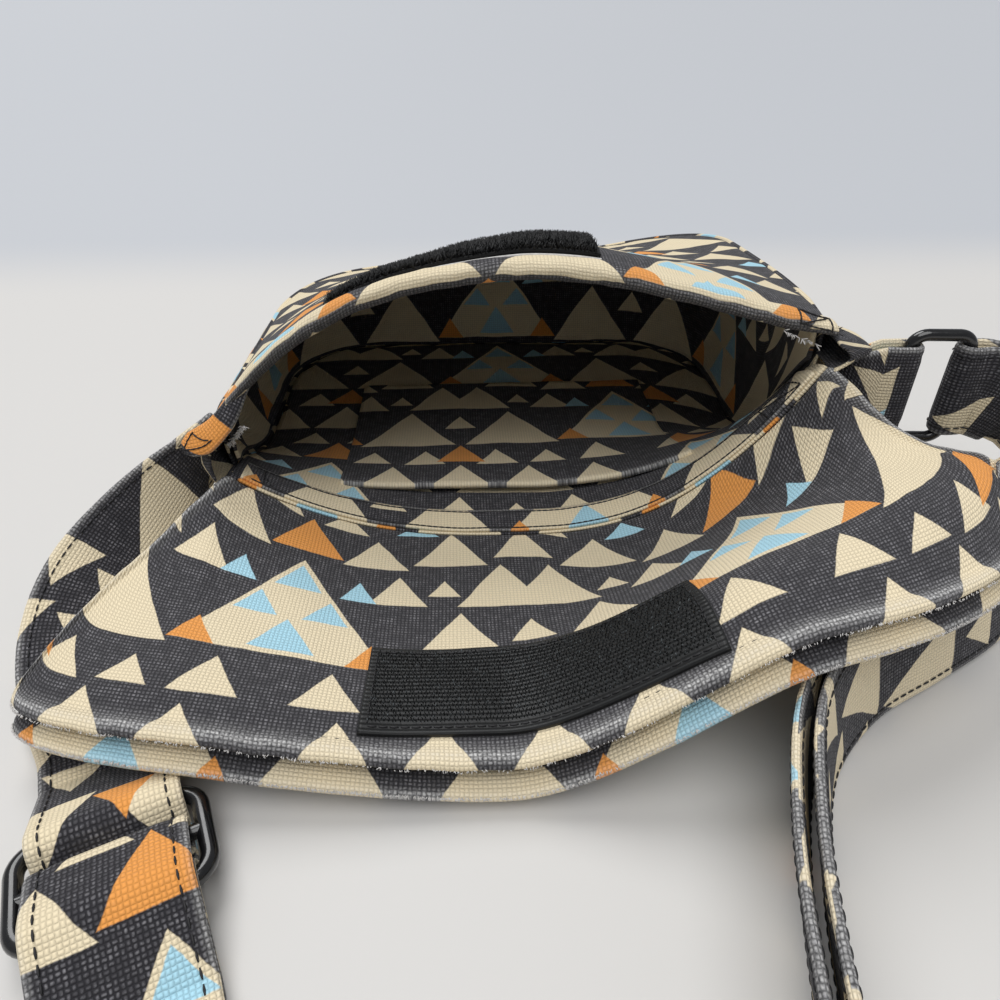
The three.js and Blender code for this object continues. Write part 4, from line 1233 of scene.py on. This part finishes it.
def directions(frames, closed=False):
    """Adds to each frame its direction along, a square direction across, the normal and the length so far."""
    run, made = 0, []
    for i, f in enumerate(frames):
        before = frames[i - 1 if i or closed else 0]["at"]
        after = frames[(i + 1) % len(frames) if closed else min(i + 1, len(frames) - 1)]["at"]
        along = (after - before).normalized()
        across = (f["across"] - along * f["across"].dot(along)).normalized()
        run += (f["at"] - before).length if i else 0
        made.append({**f, "along": along, "across": across, "normal": along.cross(across), "run": run})
    return made


def sweep(frames, section, closed=False, print_start=(0, 0), bm=None):
    """A bmesh with a section carried along frames: a new one, or one that already holds a part."""
    if bm is None:
        bm = bmesh.new()
        bm.loops.layers.uv.new("cloth")
        bm.verts.layers.float.new("wear")
    uv_layer = bm.loops.layers.uv["cloth"]
    wear_layer = bm.verts.layers.float["wear"]
    sides, rows = len(section(frames[0])), len(frames) - (0 if closed else 1)
    grid = bmesh.ops.create_grid(bm, x_segments=sides, y_segments=rows, size=1)["verts"]
    grid.sort(key=lambda v: (round(v.co.y, 6), round(v.co.x, 6)))
    for row in range(rows + 1):
        f = frames[row % len(frames)]
        ring = [Vector(p) for p in section(f)]
        aside = print_start[0]
        for column in range(sides + 1):
            a, n = ring[column % sides]
            vert = grid[row * (sides + 1) + column]
            vert.co = (f["at"] + f["across"] * a + f["normal"] * n) * MM
            vert[wear_layer] = EDGE_WEAR * ease(*EDGE_WEAR_RAMP, 2 * abs(a) / f.get("width", math.inf))
            aside += (ring[column % sides] - ring[column - 1]).length if column else 0
            for loop in vert.link_loops:
                loop[uv_layer].uv = (aside, print_start[1] + f["run"])
    bmesh.ops.remove_doubles(bm, verts=grid, dist=1e-7)
    open_edges = [e for e in bm.edges if e.is_boundary]
    for edge in open_edges:
        edge.smooth = False
    if open_edges:
        bmesh.ops.holes_fill(bm, edges=open_edges, sides=0)
    bmesh.ops.recalc_face_normals(bm, faces=bm.faces)
    return bm


strap = directions(strap_frames)
print("strap length:", round(strap[-1]["run"]), "mm")

# %% [markdown]
# The strap's solid is one piece, and here it is cut into eight. What lies in the slider rides on it, what
# lies on the table stays, and the stretches between them blend from one to the other. Neighbours share a
# frame and the length along the strap, so that the print and the stitches run on across each cut.

# %% The strap in parts that follow the slider and the ring
STITCH_SINK, STRAP_PRINT, BLEND_RUN = 0.2, (12, 5), 95
NEAR_SPANS, RING_SPANS = 4, 16


def strap_part(name, frames, body=None):
    bm = sweep(frames, lambda f: strap_section(f["width"]), print_start=STRAP_PRINT)
    rows = []
    for side, face in ((-1, -1), (-1, 1), (1, -1), (1, 1)):
        path = []
        for f in frames:
            aside = f["across"] * side * STRAP_STITCH * f["width"] / STRAP_WIDTH
            facing = f["normal"] * face
            path.append((f["at"] + aside + facing * (STRAP_THICK / 2 - STITCH_SINK), facing))
        rows += sew(path)
    stitches = repeated(bead(), rows)
    stitches.polygons.foreach_set("material_index", np.ones(len(stitches.polygons), int))
    bm.from_mesh(stitches)
    made = finish_piece(name, bm, [canvas, thread], body)
    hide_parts("strap")
    return made


def slider_line(distance):
    return SLIDER_CENTRE * MM + SLIDER_ALONG * distance * MM


ends = np.cumsum([len(part) for part in (single, weave, outward, turned, homeward)])
near, ring_from = NEAR_SPANS * PER_SPAN, RING_SPANS * PER_SPAN
first_out, last_back = ends[1], ends[4] - 1
ring_bend = Vector((RING_BEND[0], MOUTH_Y + RING_BEND[1], RING_HEIGHT))

from_gusset = strap_part("strap_from_gusset", strap[:ends[0]])
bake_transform(from_gusset, "bag", "slider", slider_line(-FOOT - BLEND_RUN), slider_line(-FOOT))
strap_part("strap_through_slider", strap[ends[0] - 1:first_out + 1], "slider")
near_out = strap_part("strap_near_loop", strap[first_out:first_out + near + 1])
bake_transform(near_out, "slider", "bag", slider_line(FOOT), slider_line(FOOT + BLEND_RUN))
strap_part("strap_outward_run", strap[first_out + near:first_out + ring_from + 1], "bag")
ring_end = strap_part("strap_at_ring", strap[first_out + ring_from:last_back - ring_from + 1])
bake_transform(ring_end, "bag", "ring", ring_bend * MM, RING_OUTER * MM)
strap_part("strap_homeward_run", strap[last_back - ring_from:last_back - near + 1], "bag")
near_back = strap_part("strap_near_loop_return", strap[last_back - near:last_back + 1])
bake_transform(near_back, "slider", "bag", slider_line(FOOT), slider_line(FOOT + BLEND_RUN))
strap_part("strap_end_on_bar", strap[last_back:], "slider")
print("frames at which the strap's runs end:", list(ends))

# %% [markdown]
# ## Ring tab
# A short folded strap is sewn to the right gusset, goes through the ring and comes back on itself. It is
# swept like the strap: one route, spread to both sides, with a half turn round the ring's inner bar.

# %% Tab that holds the ring
TAB_OFF, TAB_RAMP = STRAP_THICK / 2 + STACK / 2, (0.4, 0.95)


def tab_spot(s, leave):
    return gusset_face(1, s, TAB_OFF) + leave, s, RING_HEIGHT, 90, STRAP_PINCH


inner_s = RING_INNER.y - MOUTH_Y
tab = route([
    *[tab_spot(s, leave) for s, leave in zip(ANCHOR_SPOTS, ANCHOR_LEAVE)],
    (gusset_face(1, ANCHOR_SPOTS[2], TAB_OFF) + 8, inner_s + 1, RING_HEIGHT, 90, STRAP_WIDTH - 6),
    (RING_INNER.x - 8, inner_s + 0.4, RING_HEIGHT, 90, STRAP_WIDTH),
    (RING_INNER.x, inner_s, RING_HEIGHT, 90, STRAP_WIDTH),
])
tab_spread = [lerp(STACK / 2, TURN_RADIUS, ease(*TAB_RAMP, f["t"])) for f in tab]
tab_frames = directions([
    *[shifted(f, -spread) for f, spread in zip(tab, tab_spread)],
    *half_turn(tab[-1], TURN_RADIUS),
    *[shifted(f, spread) for f, spread in zip(tab, tab_spread)][::-1]])
bm = sweep(tab_frames, lambda f: strap_section(f["width"]), print_start=(50, 20))
ring_tab = finish_piece("ring_tab_cloth", bm, [canvas])
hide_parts("ring_tab")
print("length of the ring's tab:", round(tab_frames[-1]["run"]), "mm")

# %% [markdown]
# ## Slider and ring
# Both are bent from round steel wire, with soft corners, and the slider has a third bar across its middle.
# A torus or a beveled curve would do, but the same sweep gives them even facets and true bends.

# %% Slider and ring of bent wire
HALF_BREADTH, WIRE_CORNER = STRAP_WIDTH / 2 + 2 * CLEAR + WIRE, 5


def wire_loop(centre, along, across, half_length):
    normal, frames = along.cross(across), []
    for side_a, side_b, first in ((1, 1, 0), (-1, 1, 90), (-1, -1, 180), (1, -1, 270)):
        for t in steps(8):
            angle = math.radians(first + 90 * t)
            a = side_a * (half_length - WIRE_CORNER) + WIRE_CORNER * math.cos(angle)
            b = side_b * (HALF_BREADTH - WIRE_CORNER) + WIRE_CORNER * math.sin(angle)
            frames.append({"at": centre + along * a + across * b, "across": normal})
    return directions(frames, closed=True)


slider_wire = wire_loop(SLIDER_CENTRE, SLIDER_ALONG, SLIDER_ACROSS, SLIDER_PITCH)
bm = sweep(slider_wire, lambda f: wire_section(WIRE), closed=True)
bar = directions([{"at": SLIDER_CENTRE + SLIDER_ACROSS * HALF_BREADTH * t, "across": UP} for t in (-1, 0, 1)])
sweep(bar, lambda f: wire_section(BAR), bm=bm)
slider = finish_piece("slider_wire", bm, [enamel], "slider")
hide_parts("slider")
ring_wire = wire_loop((RING_OUTER + RING_INNER) / 2, RING_ALONG, UP, RING_PITCH / 2)
bm = sweep(ring_wire, lambda f: wire_section(WIRE), closed=True)
ring = finish_piece("ring_wire", bm, [enamel], "ring")
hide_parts("ring")
print("wire of the slider:", round(slider_wire[-1]["run"]), "mm")

# %% [markdown]
# ## Seams round the gusset
# The front and the back meet the gusset in turned seams, which show as a thin soft ridge. Two panels that
# only touch would leave a hard crack there, so each seam is a thin roll swept along the bag's outline.

# %% Seam rolls
SEAM_RADIUS, SEAM_TIP, SEAM_TAPER, FRONT_SEAM_LIFT, BACK_SEAM_GAP = 1.3, 0.1, 22, 0.5, 0.1


def seam_roll(name, height, print_start):
    frames = []
    for t in steps(240):
        x, s, out_x, out_s = outline(t * OUTLINE_RUN)
        taper = ease(0, SEAM_TAPER, min(t, 1 - t) * OUTLINE_RUN)
        frames.append({"at": Vector((x, MOUTH_Y + s, height(x, s))), "across": Vector((out_x, out_s, 0)),
                       "width": 2 * lerp(SEAM_TIP, SEAM_RADIUS, taper)})
    bm = sweep(directions(frames), lambda f: wire_section(f["width"] / 2), print_start=print_start)
    made = finish_piece(name, bm, [canvas])
    print(name, "length:", round(OUTLINE_RUN), "mm")


seam_roll("front_seam_roll", lambda x, s: front_height(x, s) + FRONT_SEAM_LIFT, (5, 60))
seam_roll("back_seam_roll", lambda x, s: back_height(x, s) + SEAM_RADIUS + BACK_SEAM_GAP, (30, 15))

# %% [markdown]
# ## Rim ends
# At both mouth corners the roll's end is pressed flat and tacked down. The left end runs out into a small
# puffy tab with a triangle of stitches, and the right end has a stitched box. The tab could be part of the
# rim's sheet, but it is sewn on by itself, so it is swept like the strap, with an oval section.

# %% Tab at the rim's left end
TAB_THICK, TAB_ROUNDNESS, TAB_FACING = 3.4, 0.75, Vector((0, -0.57, -0.82))
OVAL_SIDES, TAB_STEPS = 24, 72
TAB_POINTS = [(-86, 11, 58, 3.5), (-93, 4, 48, 7.5), (-99.5, 2.5, 42.5, 9.5), (-104, 3, 40.5, 8.5),
              (-106.5, 4, 39, 5)]


def oval_section(width, thick):
    ring = []
    for k in range(OVAL_SIDES):
        angle = 2 * math.pi * k / OVAL_SIDES
        round_spot = math.cos(angle), math.sin(angle)
        a, n = (math.copysign(abs(side) ** TAB_ROUNDNESS, side) for side in round_spot)
        ring.append((a * width / 2, n * thick / 2))
    return ring


def tab_frames_at(points, count):
    places = [Vector((x, MOUTH_Y + s, z)) for x, s, z, _ in points]
    frames = []
    for t in steps(count):
        k = min(int(t * (len(points) - 1)), len(points) - 2)
        width = lerp(points[k][3], points[k + 1][3], t * (len(points) - 1) - k)
        frames.append({"at": curve_point(places, t), "across": TAB_FACING, "width": width})
    return directions(frames)


rim_tab_frames = tab_frames_at(TAB_POINTS, TAB_STEPS)
bm = sweep(rim_tab_frames, lambda f: oval_section(f["width"], TAB_THICK), print_start=(64.5, 78.5))
rim_tab = finish_piece("rim_end_tab", bm, [canvas])
print("the rim's tab:", round(rim_tab_frames[-1]["run"]), "mm long")

# %% Tacks at the rim's ends
TACK_PITCH, TACK_SINK, TACK_RISE = 1.9, 0.05, 0.1
LEFT_TACK = [(0.42, 0.27), (0.93, 0.2), (0.64, -0.33), (0.42, 0.27)]
RIGHT_TACK = [(0.87, -185), (0.975, -185), (0.975, -262), (0.87, -262), (0.87, -185), (0.975, -262)]


def tacked(corners, place):
    """A path of stitches through corners, where place(a, b) gives a spot and the direction that faces up."""
    path = []
    for start, end in zip(corners, corners[1:]):
        path += [place(lerp(start[0], end[0], t), lerp(start[1], end[1], t)) for t in steps(8)[:-1]]
    return path


def on_tab(t, aside):
    f = rim_tab_frames[round(t * (len(rim_tab_frames) - 1))]
    at = f["at"] + f["across"] * aside * f["width"] + f["normal"] * (TAB_THICK / 2 - TACK_SINK)
    return at, f["normal"]


def on_rim(u, degrees):
    angle = math.radians(degrees)
    x, s, z = rim_roll(u, angle, TACK_RISE)
    return Vector((x, MOUTH_Y + s, z)), Vector((0, math.cos(angle), math.sin(angle)))


sewn_piece("rim_end_stitches", [tacked(LEFT_TACK, on_tab), tacked(RIGHT_TACK, on_rim)], TACK_PITCH)

# %% [markdown]
# ## Loose threads and fluff
# Cut thread ends stick out at the mouth's corners, and a fine pale fluff stands along the flap's two worn
# edges. Hair particles would do, but beads drawn out to fibres, from one fixed random seed, stay the same
# in every run and go into the mesh.

# %% Frayed ends and edge fluff
FRAY_RADIUS, FLUFF_RADIUS = 0.16, 0.11
FRAY_SPREAD, FLUFF_SPREAD = 0.8, 0.9
FLUFF_END, FLUFF_INWARD, FLUFF_BELOW = 0.97, 0.02, (0.2, 0.9)
LOOSE_LENGTHS = (0.4, 1)


def fibre_place(middle, way, length, radius):
    turn = way.to_track_quat("X", "Z").to_matrix().to_4x4()
    shape = Matrix.Diagonal((length / 2, radius, radius, 1))
    return Matrix.Translation((middle + Vector((0, MOUTH_Y, 0))) * MM) @ turn @ shape


def strayed(way, spread, draw):
    return way + Vector([draw.uniform(-spread, spread) for _ in range(3)])


def frayed(name, roots, out, count, longest, material, draw):
    """Loose thread ends that start between two places and point roughly one way."""
    places = []
    for _ in range(count):
        root = Vector(roots[0]).lerp(Vector(roots[1]), draw.random())
        way = strayed(Vector(out), FRAY_SPREAD, draw)
        length = draw.uniform(*LOOSE_LENGTHS) * longest
        places.append(fibre_place(root + way.normalized() * length / 2, way, length, FRAY_RADIUS))
    scattered_piece(name, bead(), places, material)


def edge_fluff(name, surface, count, longest, draw):
    """Short pale fibres that stand out of a cloth's free edge, all along it."""
    places = []
    for _ in range(count):
        u = draw.uniform(-FLUFF_END, FLUFF_END)
        edge, inner = (Vector(surface(u, w)) for w in (0, FLUFF_INWARD))
        way = strayed((edge - inner).normalized(), FLUFF_SPREAD, draw)
        length = draw.uniform(*LOOSE_LENGTHS) * longest
        root = edge - UP * draw.uniform(*FLUFF_BELOW)
        places.append(fibre_place(root, way, length, FLUFF_RADIUS))
    scattered_piece(name, bead(), places, fibre)


draw = random.Random(3)
frayed("frayed_left_corner", ((-94.5, 7.5, 37.5), (-88, 6.5, 45)), (0.3, -0.8, -0.3), 90, 2.4, fibre, draw)
frayed("frayed_right_corner", ((80, 7, 73), (92, 6, 68)), (0.1, -0.9, -0.5), 30, 2.8, fibre, draw)
frayed("frayed_right_end", ((97, 7, 71.5), (96.5, 13, 72.5)), (1, -0.3, 0.2), 26, 3.0, thread, draw)
edge_fluff("flap_outer_fluff", flap_outer_surface, 1500, 1.2, draw)
edge_fluff("flap_lining_fluff", flap_lining_surface, 600, 1.0, draw)

# %% [markdown]
# ## Hook tape and loop tape
# The flap carries a strip of woven nylon with thousands of small stiff hooks. The front carries its mate,
# a strip with a deep brushed pile. Both are sewn on all round. A bump alone would leave a flat outline,
# so the hooks and the pile are thin cones of a few faces each, drawn from a fixed random seed.

# %% The two tapes
TAPE_LENGTH, TAPE_WIDTH = 85, 33
HOOK_FROM_FOLD, HOOK_ASIDE = 58, -3
LOOP_FROM_RIM, LOOP_ASIDE = 12, -18
HOOK_BASE, HOOK_SEAT, LOOP_BASE, LOOP_SEAT = 1.2, 1.3, 1.4, 1.6


def hook_spot(u, v):
    return HOOK_ASIDE + u * TAPE_LENGTH / 2, -HOOK_FROM_FOLD - TAPE_WIDTH * (1 - v)


def hook_surface(u, v):
    x, s = hook_spot(u, v)
    return x, s, flap_face(x, s) + HOOK_SEAT


def loop_spot(u, v):
    x = LOOP_ASIDE + u * TAPE_LENGTH / 2
    return x, rim_setback(x / MOUTH_HALF) + LOOP_FROM_RIM + TAPE_WIDTH * v


def loop_surface(u, v):
    x, s = loop_spot(u, v)
    return x, s, front_top(x, s) + LOOP_SEAT


cloth_sheet("hook_tape_base", 90, 36, hook_surface, material=hook_nylon, thickness=HOOK_BASE,
            node="hook_tape")
cloth_sheet("loop_tape_base", 70, 28, loop_surface, material=loop_nylon, thickness=LOOP_BASE,
            node="loop_tape")

# %% Hooks and pile
BRISTLE_TIP, BRISTLE_LENGTHS, BRISTLE_SUNK = 0.35, (0.7, 1.1), 0.45


def bristles(name, surface, spots, radius, length, lean, draw, material):
    places = []
    for u, v in spots:
        x, s, z = surface(u, v)
        tilt = Vector((draw.uniform(-lean, lean), draw.uniform(-lean, lean), 1)).normalized()
        turn = tilt.to_track_quat("Z", "Y").to_matrix().to_4x4()
        tall = length * draw.uniform(*BRISTLE_LENGTHS)
        at = Matrix.Translation(Vector((x, MOUTH_Y + s, z + tall * BRISTLE_SUNK)) * MM) @ turn
        places.append(at @ Matrix.Diagonal((1, 1, tall, 1)))
    cone = bmesh.new()
    bmesh.ops.create_cone(cone, segments=4, cap_ends=True, radius1=radius * MM,
                          radius2=radius * BRISTLE_TIP * MM, depth=MM)
    scattered_piece(name, cone, places, material)


def tape_spots(columns, rows, margin, selvedge, jitter, draw):
    """Places on a tape, each row shifted by a third of a step, clear of its side and front edges."""
    spots = []
    for i in range(columns):
        for j in range(rows):
            along = i + j % 3 / 3 + draw.uniform(-jitter, jitter)
            u = lerp(-1 + margin, 1 - margin, along / (columns - 1 / 3))
            v = lerp(selvedge, 1 - margin, (j + draw.uniform(-jitter, jitter)) / (rows - 1))
            spots.append((u, v))
    return spots


draw = random.Random(7)
hook_places = tape_spots(84, 32, margin=0.05, selvedge=0.12, jitter=0.2, draw=draw)
bristles("hook_tape_hooks", hook_surface, hook_places, radius=0.17, length=1.1, lean=0.5, draw=draw,
         material=hook_bristle)
pile_places = tape_spots(130, 50, margin=0.02, selvedge=0.02, jitter=0.5, draw=draw)
bristles("loop_tape_pile", loop_surface, pile_places, radius=0.2, length=2.4, lean=0.9, draw=draw,
         material=loop_bristle)

# %% Stitches round the tapes, and a pale edge
TAPE_SEAM, TAPE_STITCH = 2, 2.6
PALE_EDGE, PALE_EDGE_BEFORE, PALE_EDGE_BELOW = 0.5, -0.03, 1.0


def tape_border(surface, inset):
    a, b = 1 - 2 * inset / TAPE_LENGTH, inset / TAPE_WIDTH
    corners = [(-a, b), (a, b), (a, 1 - b), (-a, 1 - b), (-a, b)]
    path = []
    for (u0, v0), (u1, v1) in zip(corners, corners[1:]):
        for t in steps(30)[:-1]:
            x, s, z = surface(lerp(u0, u1, t), lerp(v0, v1, t))
            path.append((Vector((x, MOUTH_Y + s, z)), UP))
    return path


tape_seams = [tape_border(surface, TAPE_SEAM) for surface in (hook_surface, loop_surface)]

# A thin pale line runs along the pile tape's front edge, just below the pile.
edge_places = [loop_surface(lerp(-1, 1, t), PALE_EDGE_BEFORE) for t in steps(60)]
edge_frames = [{"at": Vector((x, MOUTH_Y + s, z - PALE_EDGE_BELOW)), "across": UP} for x, s, z in edge_places]
bm = sweep(directions(edge_frames), lambda f: wire_section(PALE_EDGE))
finish_piece("loop_tape_pale_edge", bm, [fibre])
sewn_piece("tape_stitches", tape_seams, TAPE_STITCH)

# %% [markdown]
# ## Light and floor
# A pale floor that turns to a cooler grey behind the bag, two broad soft lamps and an even sky. The back
# lamp draws the shadow under the flap. The near lamp reaches the band inside the mouth and leaves the
# depth of the bag in shade. Together they are plain, so that a colour renders about as it is written.

# %% Floor
FLOOR_HALF = 12
SWEEP_FROM, SWEEP_TO = 0.165, 0.3


def pale_floor():
    material, tree = new_material("pale_floor")
    spot = add(tree, "ShaderNodeTexCoord")
    place = add(tree, "ShaderNodeSeparateXYZ", {0: spot.outputs["Object"]})
    behind = add(tree, "ShaderNodeMapRange", {0: place.outputs[1], 1: SWEEP_FROM, 2: SWEEP_TO},
                 interpolation_type="SMOOTHSTEP")
    tone = add(tree, "ShaderNodeMix", {"Factor": behind, 6: colour("#d4d2cf"), 7: colour("#c0c3c8")},
               data_type="RGBA")
    shader = add(tree, "ShaderNodeBsdfPrincipled", {"Base Color": tone.outputs[2], "Roughness": 0.6})
    add(tree, "ShaderNodeOutputMaterial", {"Surface": shader})
    return material


bm = bmesh.new()
bmesh.ops.create_grid(bm, x_segments=1, y_segments=1, size=FLOOR_HALF)
floor = finish_piece("floor", bm, [pale_floor()], None)
print("floor:", 2 * FLOOR_HALF, "metres wide")

# %% Sky and lamps
LAMPS = {"back_lamp": ((-0.3, 0.6, 1), 36, 1.45), "near_lamp": ((-0.05, -0.4, 1), 50, 1.65)}

world = bpy.data.worlds.new("sky")
bpy.context.scene.world = world
world.use_nodes = True
sky = world.node_tree.nodes["Background"].inputs
sky["Color"].default_value = colour("#eef1f6")
sky["Strength"].default_value = 0.28

for name, (place, spread, strength) in LAMPS.items():
    lamp = bpy.data.objects.new(name, bpy.data.lights.new(name, "SUN"))
    bpy.context.scene.collection.objects.link(lamp)
    lamp.rotation_euler = (-Vector(place)).to_track_quat("-Z", "Y").to_euler()
    lamp.data.angle = math.radians(spread)
    lamp.data.energy = strength
    print(name, "strength:", strength, "watts per square metre")
bpy.context.scene.view_settings.view_transform = "Standard"
